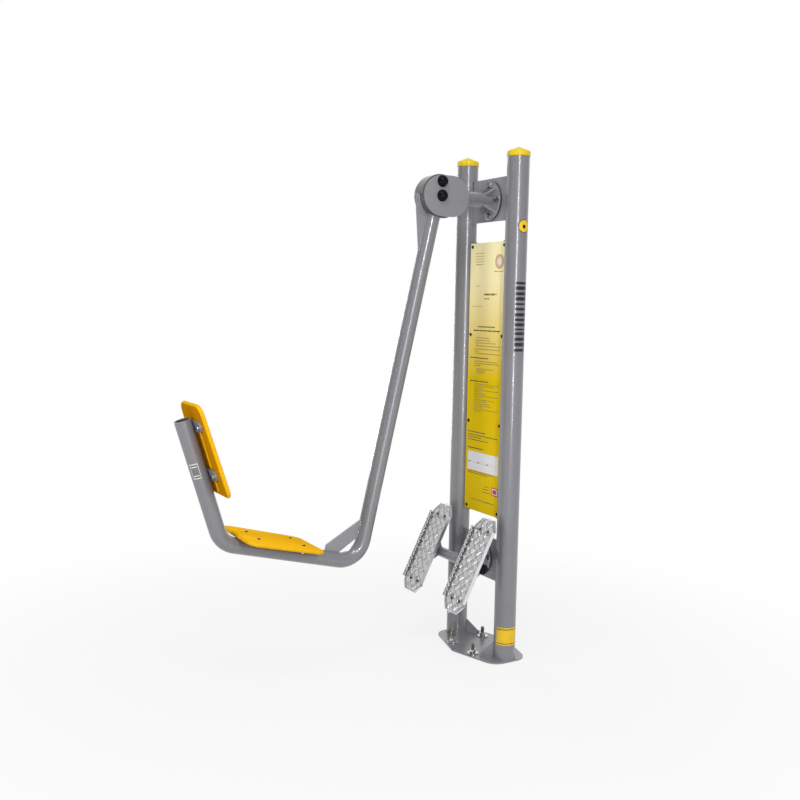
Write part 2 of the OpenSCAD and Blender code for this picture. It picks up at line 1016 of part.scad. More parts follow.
module hub_gusset() {
    arm_heading = heading(pivot, lower_corner);
    gusset_tip = pivot + along(arm_heading) * gusset_len - left_of(arm_heading) * tube_r;
    color(steel_paint)
        difference() {
            upright(gusset_t)
                polygon([
                    pivot + [-gusset_reach, gusset_top],
                    pivot + [-tube_r, gusset_top],
                    pivot + along(arm_heading) * gusset_len,
                    gusset_tip
                ]);
            swing_tube_solid();
            drum_cut();
        }
}

module swing_tube() {
    color(steel_paint)
        difference() {
            swing_tube_solid();
            bent_rod(swing_route, bend_r, tube_r - tube_wall, cut, $fn = tube_facets);
            drum_cut();
        }
}

// Brace plate across the lower corner, leaving a small window at the bend
module corner_brace() {
    seat_heading = heading(lower_corner, rear_corner);
    arm_heading = heading(lower_corner, pivot);
    up = -left_of(seat_heading);
    color(steel_paint)
        difference() {
            upright(brace_t)
                polygon([
                    lower_corner + along(seat_heading) * brace_seat_near + up * tube_r * root_share,
                    lower_corner + along(seat_heading) * brace_seat_far,
                    lower_corner + along(seat_heading) * brace_seat_far + up * (tube_r + brace_nose),
                    lower_corner + along(arm_heading) * brace_arm_far + left_of(arm_heading) * tube_r,
                    lower_corner + along(arm_heading) * brace_arm_far,
                    lower_corner + along(arm_heading) * brace_arm_near + left_of(arm_heading) * tube_r * root_share
                ]);
            swing_tube_solid();
        }
}

module tube_end_plug() {
    plug_top = back_end - along(heading(rear_corner, back_end)) * plug_sink;
    plug_bottom = plug_top - along(heading(rear_corner, back_end)) * plug_t;
    color(black_trim)
        rod(plug_bottom, plug_top, tube_r - tube_wall - fit_play);
}

// Frames of the two boards: X runs along the tube towards the lower end, Z out of the tube
module on_seat_leg() {
    seat_point = rear_corner + along(-seat_slope) * seat_from_corner;
    translate([seat_point.x, 0, seat_point.y])
        rotate([0, seat_slope, 0])
            children();
}

module on_back_leg() {
    back_point = rear_corner + along(90 + back_tilt) * backrest_from_corner;
    translate([back_point.x, 0, back_point.y])
        rotate([0, 90 - back_tilt, 0])
            children();
}

module at_pad_bolts() {
    for (s = [-1, 1], y = [-1, 1])
        translate([s * pad_bolt_span_s / 2, y * pad_bolt_span_y / 2, 0])
            children();
}

module pad_bolt_holes(under) {
    at_pad_bolts()
        translate([0, 0, under - crossbar_strip_t - cut])
            cylinder(d = pad_bolt_d, h = pad_t + crossbar_strip_t + cut * 2);
}

// Board that is first_w wide at its upper or rear end and last_w wide at the other, with a
// radius for each corner
module pad(length, first_w, last_w, radii, under) {
    outline = [
        [-length / 2, -first_w / 2],
        [length / 2, -last_w / 2],
        [length / 2, last_w / 2],
        [-length / 2, first_w / 2]
    ];
    color(pad_orange)
        difference() {
            translate([0, 0, under])
                linear_extrude(pad_t)
                    rounded_outline(outline, radii);
            pad_bolt_holes(under);
        }
}

module cross_bars(under, split) {
    end_r = crossbar_strip_w / 2;
    color(steel_paint)
        difference() {
            for (s = [-1, 1])
                translate([s * pad_bolt_span_s / 2, 0, under - crossbar_strip_t])
                    linear_extrude(crossbar_strip_t) {
                        square([crossbar_strip_w, crossbar_strip_len - crossbar_strip_w], center = true);
                        for (y = [-1, 1])
                            translate([0, y * (crossbar_strip_len / 2 - end_r)])
                                circle(r = end_r);
                    }
            pad_bolt_holes(under);
            rotate([0, 90, 0])
                cylinder(r = tube_r, h = pad_bolt_span_s * 2, center = true);
            if (split > 0)
                translate([0, 0, under])
                    cube([pad_bolt_span_s * 2, split, crossbar_strip_t * 3], center = true);
        }
}

module pad_bolts(under) {
    shank = pad_t + crossbar_strip_t + pad_nut_h + pad_bolt_d * thread_end_share;
    color(zinc)
        at_pad_bolts()
            translate([0, 0, under + pad_t])
                button_screw(pad_bolt_d, shank);
}

module pad_nuts(under) {
    color(zinc)
        at_pad_bolts()
            translate([0, 0, under - crossbar_strip_t - pad_nut_h])
                hex_nut(pad_bolt_d, pad_nut_h);
}

module seat_board() {
    on_seat_leg()
        pad(seat_len, seat_rear_w, seat_front_w, [for (i = [1:4]) seat_corner_r], seat_under);
}

module seat_cross_bars() {
    on_seat_leg()
        cross_bars(seat_under, seat_bar_split);
}

module seat_bolts() {
    on_seat_leg()
        pad_bolts(seat_under);
}

module seat_nuts() {
    on_seat_leg()
        pad_nuts(seat_under);
}

module backrest_board() {
    on_back_leg()
        pad(backrest_len, backrest_top_w, backrest_low_w,
            [backrest_top_r, backrest_low_r, backrest_low_r, backrest_top_r], backrest_under);
}

module backrest_cross_bars() {
    on_back_leg()
        cross_bars(backrest_under, 0);
}

module backrest_bolts() {
    on_back_leg()
        pad_bolts(backrest_under);
}

module backrest_nuts() {
    on_back_leg()
        pad_nuts(backrest_under);
}

// Pedal support: a short tube, the crossbar and what it carries
module pedal_support_tube() {
    color(steel_paint)
        difference() {
            translate([flange_front_x, 0, pedal_arm_z])
                rotate([0, -90, 0])
                    difference() {
                        cylinder(r = pedal_support_r, h = pedal_reach + flange_front_x);
                        translate([0, 0, -cut])
                            cylinder(r = pedal_support_r - pedal_bar_wall, h = pedal_reach);
                    }
            at_crossbar()
                rotate([90, 0, 0])
                    cylinder(r = pedal_bar_r, h = pedal_bar_len, center = true);
        }
}

module at_crossbar() {
    translate([-pedal_reach, 0, pedal_arm_z])
        children();
}

module pedal_crossbar() {
    color(steel_paint)
        at_crossbar()
            rotate([90, 0, 0])
                difference() {
                    cylinder(r = pedal_bar_r, h = pedal_bar_len, center = true);
                    cylinder(r = pedal_bar_r - pedal_bar_wall, h = pedal_bar_len + cut, center = true);
                }
}

module crossbar_end_caps() {
    // Radius of the shallow dome that is pedal_end_cap_h high over the tube end
    dome_r = (pow(pedal_bar_r, 2) + pow(pedal_end_cap_h, 2)) / (pedal_end_cap_h * 2);
    color(black_trim)
        at_crossbar()
            for (turn = [90, -90])
                rotate([turn, 0, 0])
                    translate([0, 0, pedal_bar_len / 2]) {
                        rotate_extrude()
                            intersection() {
                                translate([0, pedal_end_cap_h - dome_r])
                                    circle(r = dome_r);
                                square([pedal_bar_r, pedal_end_cap_h]);
                            }
                        translate([0, 0, -pedal_cap_plug_len])
                            cylinder(r = pedal_bar_r - pedal_bar_wall, h = pedal_cap_plug_len);
                    }
}

// Frame of a pedal: X runs up the tread, Z out of it towards the user
module on_pedal(side) {
    at_crossbar()
        translate([0, side * pedal_offset, 0])
            rotate([0, pedal_tilt - 90, 0])
                translate([-pedal_drop, 0, 0])
                    children();
}

module at_pedal_screws() {
    for (s = [-1, 1], y = [-1, 1])
        translate([s * pedal_screw_span_s / 2, y * pedal_screw_span_y / 2, 0])
            children();
}

module pedal_screw_holes() {
    at_pedal_screws()
        translate([0, 0, carrier_under - cut])
            cylinder(d = pedal_screw_d, h = carrier_t + pedal_t + cut * 2);
}

module pedal(side) {
    half_len = pedal_len / 2;
    half_w = pedal_w / 2;
    corner_len = pedal_corner_len;
    corner_w = pedal_corner_w;
    color(tread_alu)
        on_pedal(side)
            difference() {
                union() {
                    translate([0, 0, carrier_top])
                        linear_extrude(pedal_t)
                            polygon([
                                [half_len, corner_w - half_w],
                                [half_len, half_w - corner_w],
                                [half_len - corner_len, half_w],
                                [corner_len - half_len, half_w],
                                [-half_len, half_w - corner_w],
                                [-half_len, corner_w - half_w],
                                [corner_len - half_len, -half_w],
                                [half_len - corner_len, -half_w]
                            ]);
                    for (y = [-1, 1])
                        translate([0, y * (half_w - pedal_t / 2), carrier_top + (pedal_t + pedal_flange_h) / 2])
                            cube([pedal_flange_len, pedal_t, pedal_t + pedal_flange_h], center = true);
                }
                pedal_screw_holes();
            }
}

module left_pedal() {
    pedal(1);
}

module right_pedal() {
    pedal(-1);
}

module both_pedals() {
    for (side = [-1, 1])
        on_pedal(side)
            children();
}

module pedal_carriers() {
    color(steel_paint)
        both_pedals()
            difference() {
                translate([0, 0, carrier_under + carrier_t / 2])
                    cube([carrier_len, carrier_w, carrier_t], center = true);
                pedal_screw_holes();
            }
}

module carrier_ribs() {
    color(steel_paint)
        both_pedals()
            difference() {
                for (y = [-1, 1])
                    translate([0, y * carrier_rib_y, 0])
                        upright(carrier_rib_t)
                            polygon([
                                [-carrier_rib_len / 2, carrier_under],
                                [-carrier_rib_len / 2, carrier_under - carrier_t],
                                [pedal_drop - pedal_bar_r, 0],
                                [pedal_drop + pedal_bar_r, 0],
                                [carrier_rib_len / 2, carrier_under - carrier_t],
                                [carrier_rib_len / 2, carrier_under]
                            ]);
                translate([pedal_drop, 0, 0])
                    rotate([90, 0, 0])
                        cylinder(r = pedal_bar_r, h = pedal_w, center = true);
            }
}

module pedal_screws() {
    pedal_nut_h = pedal_screw_d * nut_h_share;
    shank = pedal_t + carrier_t + pedal_nut_h + pedal_screw_d * thread_end_share;
    color(zinc)
        both_pedals()
            at_pedal_screws()
                translate([0, 0, pedal_standoff])
                    button_screw(pedal_screw_d, shank);
}

module pedal_nuts() {
    pedal_nut_h = pedal_screw_d * nut_h_share;
    color(zinc)
        both_pedals()
            at_pedal_screws()
                translate([0, 0, carrier_under - pedal_nut_h])
                    hex_nut(pedal_screw_d, pedal_nut_h);
}

base_plate();
near_post();
far_post();
post_foot_ribs();
near_post_cap();
far_post_cap();
post_cap_screws();
anchor_studs();
anchor_washers();
anchor_nuts();
info_board();
board_lugs();
board_screws();
board_nuts();
top_bracket_plate();
lower_bracket_plate();
support_flange();
support_tube();
support_gussets();
flange_bolts();
flange_washers();
flange_nuts();
near_hub_plate();
far_hub_plate();
pivot_shaft();
stop_bolt();
stop_sleeve();
hub_nuts();
hub_dome_caps();
pivot_bushes();
bearing_hub();
hub_drum();
stop_fins();
hub_webs();
hub_gusset();
swing_tube();
corner_brace();
tube_end_plug();
seat_board();
seat_cross_bars();
seat_bolts();
seat_nuts();
backrest_board();
backrest_cross_bars();
backrest_bolts();
backrest_nuts();
pedal_support_flange();
pedal_support_tube();
pedal_support_gussets();
pedal_crossbar();
crossbar_end_caps();
pedal_carriers();
carrier_ribs();
left_pedal();
right_pedal();
pedal_screws();
pedal_nuts();
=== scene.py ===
"""Street gym leg press: the finishes, fasteners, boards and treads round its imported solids."""
import math
import random
from itertools import product

import bmesh
import bpy
from bpy.props import FloatProperty, FloatVectorProperty, IntProperty, PointerProperty
from bpy.types import Operator, PropertyGroup
from mathutils import Matrix, Vector


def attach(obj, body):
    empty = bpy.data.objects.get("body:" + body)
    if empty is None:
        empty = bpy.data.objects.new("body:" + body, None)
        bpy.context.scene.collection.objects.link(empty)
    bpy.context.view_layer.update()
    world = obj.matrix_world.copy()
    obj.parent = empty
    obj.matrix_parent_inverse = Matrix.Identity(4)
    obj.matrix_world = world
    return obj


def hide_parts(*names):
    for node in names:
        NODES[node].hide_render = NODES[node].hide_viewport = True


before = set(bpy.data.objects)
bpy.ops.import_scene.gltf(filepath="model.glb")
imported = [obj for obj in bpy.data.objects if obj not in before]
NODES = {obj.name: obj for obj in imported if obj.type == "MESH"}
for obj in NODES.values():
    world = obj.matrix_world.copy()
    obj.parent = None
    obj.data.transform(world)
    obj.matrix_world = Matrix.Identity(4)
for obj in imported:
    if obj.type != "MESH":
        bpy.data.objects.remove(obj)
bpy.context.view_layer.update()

bl_info = {
    "name": "Street Gym Leg Press",
    "version": (1, 0, 0),
    "blender": (4, 5, 0),
    "location": "View3D > Sidebar > Leg Press",
    "description": "Finishes, fasteners, boards and treads of a street gym leg press",
    "category": "Add Mesh",
}

MM = 0.001
FULL_TURN = 2 * math.pi
X, Y, Z = Vector((1, 0, 0)), Vector((0, 1, 0)), Vector((0, 0, 1))
SIDES = (-1, 1)

# Places and sizes of the solids, in millimetres
POST_R = 44.45
POST_Y = 175.0
POST_TOP = 2046.0
BASE_T = 6.0
RIB_REACH = 56.0
RIB_T = 6.0
RIB_H = 63.0
RIB_TURN = 40.0
CAP_R = 46.25
CAP_SKIRT = 12.0
CAP_RIM = 8.0
CAP_RISE = 19.0
STUD_R = 8.0
STUD_X = (-87.0, 69.0)
STUD_Y = (-75.0, 75.0)
STUD_WASHER_R = 24.0
STUD_WASHER_T = 4.0
STUD_NUT_H = 13.0
STUD_TOP = 49.0
BOARD_FRONT = -8.5
BOARD_T = 6.0
BOARD_W = 250.0
BOARD_H = 1130.0
BOARD_LOW = 580.0
LUG_T = 5.0
LUG_H = 40.0
BOARD_SCREW_D = 8.0
BOARD_SCREW_Y = 110.0
BOARD_SCREW_Z = [595.0 + i * 1100.0 / 3 for i in range(4)]
ARM_Z = 1877.0
PEDAL_Z = 399.0
TOP_LIFT = 3.0
BRACKET_T = 10.0
BRACKET_H = 174.0
FLANGE_FRONT = -13.0
FLANGE_PCD_R = 62.0
FLANGE_BOLT_D = 16.0
FLANGE_WASHER_R = 15.0
FLANGE_WASHER_T = 3.0
GUSSET_LEG = 40.0
GUSSET_T = 8.0
TUBE_R = 30.15
PEDAL_SUPPORT_R = 20.0
PEDAL_BAR_R = 21.2
PEDAL_REACH = 130.0
PEDAL_BAR_LEN = 386.0
PEDAL_OFFSET = 158.4
PEDAL_TILT = 26.46
PEDAL_DROP = 5.0
PEDAL_LEN = 400.0
PEDAL_W = 142.0
PEDAL_CORNER = (40.0, 31.0)
PEDAL_TOP = 44.0
PEDAL_T = 4.0
PEDAL_FLANGE_H = 15.0
PEDAL_FLANGE_LEN = 305.0
CARRIER_T = 6.0
CARRIER_RIB_Y = 30.0
CARRIER_RIB_T = 6.0
PEDAL_SCREW_D = 6.0
PEDAL_SCREWS = (297.7 / 2, 53.4 / 2)
PIVOT = Vector((-265.0, 0.0, ARM_Z))
STOP_RISE = 56.0
HUB_FACE = 40.0
DOME_R = 23.5
DRUM_R = 84.0
HUB_GUSSET_END = 226.0
ARM_TILT = math.radians(12.92)
ARM_LEN = (ARM_Z - 437.7) / math.cos(ARM_TILT)
SEAT_LEG = 578.5
SEAT_SLOPE = math.radians(13.95)
BACK_TILT = math.radians(17.3)
LOWER_CORNER = PIVOT - ARM_LEN * Vector((math.sin(ARM_TILT), 0, math.cos(ARM_TILT)))
REAR_CORNER = LOWER_CORNER + SEAT_LEG * Vector((-math.cos(SEAT_SLOPE), 0, math.sin(SEAT_SLOPE)))
BRACE_START = 100.0
BRACE_ON_SEAT_LEG = 157.0
BRACE_ON_ARM = 170.0
SEAT_BOLTS = (92.0, 63.5)
PAD_BOLT_D = 8.0
PAD_T = 15.0
BAR_T = 8.0
BAR_HALF_W = 20.0
SEAT_UNDER = 30.45
BACK_UNDER = 37.5
# Length, width at both ends and the four corner radii
SEAT_OUTLINE = (320.0, 320.0, 258.0, (42.0, 42.0, 42.0, 42.0))
BACK_OUTLINE = (344.0, 214.0, 264.0, (42.0, 24.0, 24.0, 42.0))
SEAT_FROM_CORNER = 204.0
BACK_FROM_CORNER = 355.0

# What only the dressed part has, in millimetres
HEX_FLATS = 1.5
HEX_FACE = 0.475
NUT_H = 0.8125
THREAD_DEPTH = 0.54
CAP_PLAY = 0.05
DOME_BORE = 13.6
# A thin black strip on the far post beside the top bracket plate: painted shadow at the weld.
BRACKET_SHADOW_STRIP = ((0.4, 7.0, 38.0), (-BRACKET_T / 2 - 0.1, 126.0, 1947.0))
BACK_BEAD_Y = 42.0
BACK_BEAD_R = 3.0
BACK_BEADS = ((-68, 68), (116, 160))
TREAD_BEND = 5.0
TREAD_LEAN = 1.8
TREAD_FILLET = 0.8
TOOTH_SIZE = (12.5, 5.0)
TOOTH_PITCH = 9.0
TOOTH_LEAN = 48


# Placing

def shift(x=0.0, y=0.0, z=0.0):
    return Matrix.Translation((x, y, z))


def turn(axis, degrees):
    return Matrix.Rotation(math.radians(degrees), 4, axis)


def on_leg(slope, along):
    """X runs down a leg of the seat frame from a place along it off the rear corner, Z out of it."""
    return Matrix.Translation(REAR_CORNER) @ Matrix.Rotation(slope, 4, "Y") @ shift(along)


ON_SEAT = on_leg(SEAT_SLOPE, SEAT_FROM_CORNER)
ON_BACK = on_leg(math.pi / 2 - BACK_TILT, -BACK_FROM_CORNER)


def on_pedal(side):
    """X runs up the tread, Z out of it towards the user."""
    return (shift(-PEDAL_REACH, side * PEDAL_OFFSET, PEDAL_Z)
            @ turn("Y", PEDAL_TILT - 90) @ shift(-PEDAL_DROP))


def on_flange(height, quarter):
    """Z points away from the user along a bolt of the flange at that height."""
    return shift(z=height) @ turn("X", 90 * quarter) @ shift(z=FLANGE_PCD_R) @ turn("Y", 90)


# Shapes as lists of points and faces, in millimetres

def angles(count):
    return [FULL_TURN * i / count for i in range(count)]


def around(radius, angle, z):
    return radius * math.cos(angle), radius * math.sin(angle), z


def circle(r, z, count=48):
    return [around(r, a, z) for a in angles(count)]


def hexagon(flats, z, reach=1e9):
    """Ring of a hexagon whose corners are cut to a reach."""
    ring = []
    for a in angles(48):
        off = (a + math.pi / 6) % (math.pi / 3) - math.pi / 6
        ring.append(around(min(flats / 2 / math.cos(off), reach), a, z))
    return ring


def skin(rings, wrap=False):
    """Closed skin over rings of equal length; a ring of one point is a pole."""
    points, faces, starts = [], [], []
    for ring in rings:
        starts.append(len(points))
        points += ring
    pairs = list(zip(range(len(rings)), range(1, len(rings))))
    if wrap:
        pairs.append((len(rings) - 1, 0))
    for a, b in pairs:
        count = max(len(rings[a]), len(rings[b]))
        for i in range(count):
            j = (i + 1) % count
            low = [starts[a]] if len(rings[a]) == 1 else [starts[a] + i, starts[a] + j]
            high = [starts[b]] if len(rings[b]) == 1 else [starts[b] + j, starts[b] + i]
            faces.append(tuple(low + high))
    if not wrap:
        if len(rings[0]) > 1:
            faces.append(tuple(range(len(rings[0])))[::-1])
        if len(rings[-1]) > 1:
            faces.append(tuple(starts[-1] + i for i in range(len(rings[-1]))))
    return points, faces


def lathe(profile, count=48, wrap=False):
    """Shape turned about Z from points of radius and height."""
    return skin([[(0.0, 0.0, z)] if r == 0 else circle(r, z, count) for r, z in profile], wrap)


def chamfered_end(thread_d, face, inward):
    """Rings of a hexagon's chamfered end, from its face inwards; inward is the sign of Z that way."""
    flats = HEX_FLATS * thread_d
    corner, low = flats / 2 / math.cos(math.pi / 6), flats * HEX_FACE
    bevel = (corner - low) * 0.55
    return [hexagon(flats, face + inward * bevel * share, reach)
            for share, reach in ((0, low), (0.45, (low + corner) / 2 + bevel * 0.2), (1, corner))]


def nut(thread_d, height):
    """Hexagon nut with chamfered corners and a countersunk bore."""
    bore = thread_d / 2
    sink = bore * 0.12
    rings = chamfered_end(thread_d, 0.0, 1) + chamfered_end(thread_d, height, -1)[::-1]
    rings += [circle(bore * 1.12, height), circle(bore, height - sink),
              circle(bore, sink), circle(bore * 1.12, 0.0)]
    return skin(rings, wrap=True)


def bolt_head(thread_d, height):
    """Hexagon head on a thin washer face, chamfered on its far side."""
    flats = HEX_FLATS * thread_d
    low = flats * HEX_FACE
    return skin([circle(low, 0.0), circle(low, 0.3), hexagon(flats, 0.35)]
                + chamfered_end(thread_d, height, -1)[::-1] + [circle(low * 0.9, height)])


def washer(outer_r, bore_r, height):
    edge = min(0.5, height / 4)
    return lathe([(bore_r, edge), (bore_r + edge, 0.0), (outer_r - edge, 0.0), (outer_r, edge),
                  (outer_r, height - edge), (outer_r - edge, height), (bore_r + edge, height),
                  (bore_r, height - edge)], wrap=True)


def threaded(radius, low, high, pitch):
    """Rod with a helical thread and a chamfered end at its top."""
    rows, count = max(2, int((high - low) / pitch * 6)), 24
    rings = []
    for row in range(rows + 1):
        z = low + (high - low) * row / rows
        end = max(0.0, 1 - (high - z) / (radius * 0.22)) * radius * 0.2
        ring = []
        for i, a in enumerate(angles(count)):
            cut = THREAD_DEPTH * pitch * abs(2 * ((z / pitch - i / count) % 1) - 1)
            ring.append(around(radius - cut - end, a, z))
        rings.append(ring)
    return skin(rings)


def button_head(thread_d, depth):
    """Low domed screw head with a hexagon socket, and a plain shank depth long."""
    r, rise = thread_d * 0.875, thread_d * 0.55
    socket = thread_d * 0.625
    floor = rise - thread_d * 0.38
    dome = [(thread_d * 0.5, -depth), (thread_d * 0.5, 0.0), (r - 0.3, 0.0), (r, 0.3)]
    for i in range(1, 6):
        lean = math.radians(12 + 62 * i / 5)
        dome.append((r * math.cos(lean) ** 0.75, 0.3 + (rise - 0.3) * math.sin(lean) ** 1.2))
    rings = [circle(a, z) for a, z in dome]
    rings += [circle(socket * 0.62, rise), hexagon(socket, rise - 0.35), hexagon(socket, floor),
              [(0.0, 0.0, floor - 0.6)]]
    return skin(rings)


def box(size, centre=(0.0, 0.0, 0.0)):
    points = [tuple(centre[k] + size[k] * (0.5 if i >> k & 1 else -0.5) for k in range(3))
              for i in range(8)]
    return points, [(0, 2, 3, 1), (4, 5, 7, 6), (0, 1, 5, 4), (2, 6, 7, 3), (0, 4, 6, 2), (1, 3, 7, 5)]


def bead(path, radius, closed=False, ripple=3.2):
    """Weld bead along a path of points, with the ripples that a weld run leaves."""
    points = [Vector(p) for p in path]
    if closed:
        points.append(points[0].copy())
    walked = [0.0]
    for a, b in zip(points, points[1:]):
        walked.append(walked[-1] + (b - a).length)
    total = walked[-1]
    count = max(4, int(total / 1.6))
    stops = [total * i / count for i in range(count if closed else count + 1)]
    line, seg = [], 0
    for s in stops:
        while seg < len(points) - 2 and walked[seg + 1] < s:
            seg += 1
        span = max(walked[seg + 1] - walked[seg], 1e-9)
        line.append(points[seg].lerp(points[seg + 1], (s - walked[seg]) / span))
    rings, side, last = [], None, len(line) - 1
    for i, p in enumerate(line):
        before, after = (i - 1, (i + 1) % len(line)) if closed else (max(i - 1, 0), min(i + 1, last))
        ahead = (line[after] - line[before]).normalized()
        if side is None:
            side = ahead.orthogonal().normalized()
        side = (side - ahead * side.dot(ahead)).normalized()
        up = ahead.cross(side)
        swell = 1 + 0.1 * math.cos(FULL_TURN * stops[i] / ripple) + 0.05 * math.cos(stops[i] * 0.41)
        if not closed:
            swell *= min(1.0, 0.45 + min(i, last - i) * 0.3)
        rings.append([tuple(p + radius * swell * (side * math.cos(a) + up * math.sin(a)))
                      for a in angles(8)])
    return skin(rings, wrap=closed)


def arc(centre, u, v, radius, start=0.0, end=360.0, steps=48):
    """Points of an arc about a centre, in the plane of two directions."""
    return [centre + radius * (u * math.cos(a) + v * math.sin(a))
            for a in (math.radians(start + (end - start) * i / steps) for i in range(steps + 1))]


class Shape:
    """Gathers parts in millimetres and makes one object of them in metres."""

    def __init__(self):
        self.points, self.faces, self.finishes = [], [], []

    def add(self, part, place=Matrix(), finish=0):
        start = len(self.points)
        self.points += [(place @ Vector(p)) * MM for p in part[0]]
        self.faces += [tuple(start + i for i in face) for face in part[1]]
        self.finishes += finish if isinstance(finish, list) else [finish] * len(part[1])

    def build(self, name, kinds, slot, *replaces, body="pylon", sharp=38.0):
        """Makes the piece in finishes of those names, instead of the CAD nodes that it replaces."""
        mesh = bpy.data.meshes.new(name)
        mesh.from_pydata([tuple(p) for p in self.points], [], self.faces)
        mesh.polygons.foreach_set("material_index", self.finishes)
        for kind in kinds.split():
            mesh.materials.append(finishes()[kind])
        form = bmesh.new()
        form.from_mesh(mesh)
        bmesh.ops.recalc_face_normals(form, faces=form.faces)
        limit = math.radians(sharp)
        for face in form.faces:
            face.smooth = True
        for edge in form.edges:
            edge.smooth = len(edge.link_faces) == 2 and edge.calc_face_angle() < limit
        form.to_mesh(mesh)
        form.free()
        piece = bpy.data.objects.new(name, mesh)
        bpy.context.scene.collection.objects.link(piece)
        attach(piece, body)
        if replaces:
            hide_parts(*replaces)


# Finishes

def feed(tree, node, inputs):
    """Sets inputs of a shader node to plain values, or links them where the value is a socket."""
    for socket, value in inputs.items():
        if isinstance(value, bpy.types.NodeSocket):
            tree.links.new(value, node.inputs[socket])
        else:
            node.inputs[socket].default_value = value


def add_node(tree, kind, inputs=None, **settings):
    """Adds a shader node and gives back its outputs."""
    node = tree.nodes.new(f"ShaderNode{kind}")
    for name, value in settings.items():
        setattr(node, name, value)
    feed(tree, node, inputs or {})
    return node.outputs


def maths(tree, operation, *values):
    return add_node(tree, "Math", dict(enumerate(values)), operation=operation)["Value"]


def spread(tree, value, low, high, least, most, interpolation="SMOOTHSTEP"):
    """Carries a value over from one range to another."""
    inputs = {"Value": value, "From Min": low, "From Max": high, "To Min": least, "To Max": most}
    return add_node(tree, "MapRange", inputs, interpolation_type=interpolation)["Result"]


def ramp(tree, value, stops, interpolation="LINEAR"):
    """Colours of a value, from stops of place and colour of which the first two are its ends."""
    colours = add_node(tree, "ValToRGB", {"Fac": value})["Color"]
    band = colours.node.color_ramp
    band.interpolation = interpolation
    for i, (place, colour) in enumerate(stops):
        stop = band.elements[i] if i < 2 else band.elements.new(place)
        stop.position, stop.color = place, (*colour, 1)
    return colours


def tone(colour, *shares):
    """Colour with its channels times one share, or times a share each."""
    return tuple(min(1.0, c * share) for c, share in zip(colour, shares * 3))


def finish(name, colour, rough, metal=0.0, bump=None, mottle=None, rough_range=None, coat=0.0,
           coat_rough=0.1, specular=0.5, edge=0.0, head=None, rim=None):
    """Procedural finish. bump is (scale, detail, distance in mm), mottle (scale, share of brightness),
    rough_range (least, most, scale), edge the radius of worn edges in mm, head the colour at the top
    of the board, and rim the colour of every side that doesn't face along X, which paints shade on
    those sides."""
    made = bpy.data.materials.get(name)
    if made:
        return made
    made = bpy.data.materials.new(name)
    made.use_nodes = True
    made.diffuse_color = (*colour, 1)
    tree = made.node_tree
    shader = tree.nodes["Principled BSDF"]
    look = {"Base Color": (*colour, 1), "Roughness": rough, "Metallic": metal, "Coat Weight": coat,
            "Coat Roughness": coat_rough, "Specular IOR Level": specular}
    place = add_node(tree, "TexCoord")["Object"]

    def noise(scale, detail):
        return add_node(tree, "TexNoise", {"Scale": scale, "Detail": detail, "Vector": place})["Fac"]

    if mottle:
        scale, share = mottle
        look["Base Color"] = ramp(tree, noise(scale, 4.0), (
            (0.25, tone(colour, 1 - share)), (0.75, tone(colour, 1 + share))), "EASE")
    if head:
        height = spread(tree, add_node(tree, "SeparateXYZ", {"Vector": place})["Z"], BOARD_LOW * MM,
                        (BOARD_LOW + BOARD_H) * MM, 0.0, 1.0, "LINEAR")
        middle = [a * 0.72 + b * 0.28 for a, b in zip(colour, head)]
        look["Base Color"] = ramp(tree, height, ((0.5, colour), (0.86, head), (0.62, middle)))
    # Painted shade: the sides that don't face along X take the rim colour.
    if rim:
        normal = add_node(tree, "NewGeometry")["Normal"]
        across = maths(tree, "ABSOLUTE", add_node(tree, "SeparateXYZ", {"Vector": normal})["X"])
        look["Base Color"] = add_node(tree, "Mix", {
            "Factor": maths(tree, "GREATER_THAN", across, 0.6), "A": (*rim, 1),
            "B": look["Base Color"]}, data_type="RGBA")["Result"]
    if rough_range:
        least, most, scale = rough_range
        look["Roughness"] = spread(tree, noise(scale, 3.0), 0.2, 0.8, least, most)
    if edge:
        look["Normal"] = add_node(tree, "Bevel", {"Radius": edge * MM}, samples=4)["Normal"]
    if bump:
        scale, detail, distance = bump
        relief_and_painted_shadow = {"Strength": 1.0, "Distance": distance * MM, "Height": noise(scale, detail)}
        if edge:
            relief_and_painted_shadow["Normal"] = look["Normal"]
        look["Normal"] = add_node(tree, "Bump", relief_and_painted_shadow)["Normal"]
    feed(tree, shader, look)
    return made


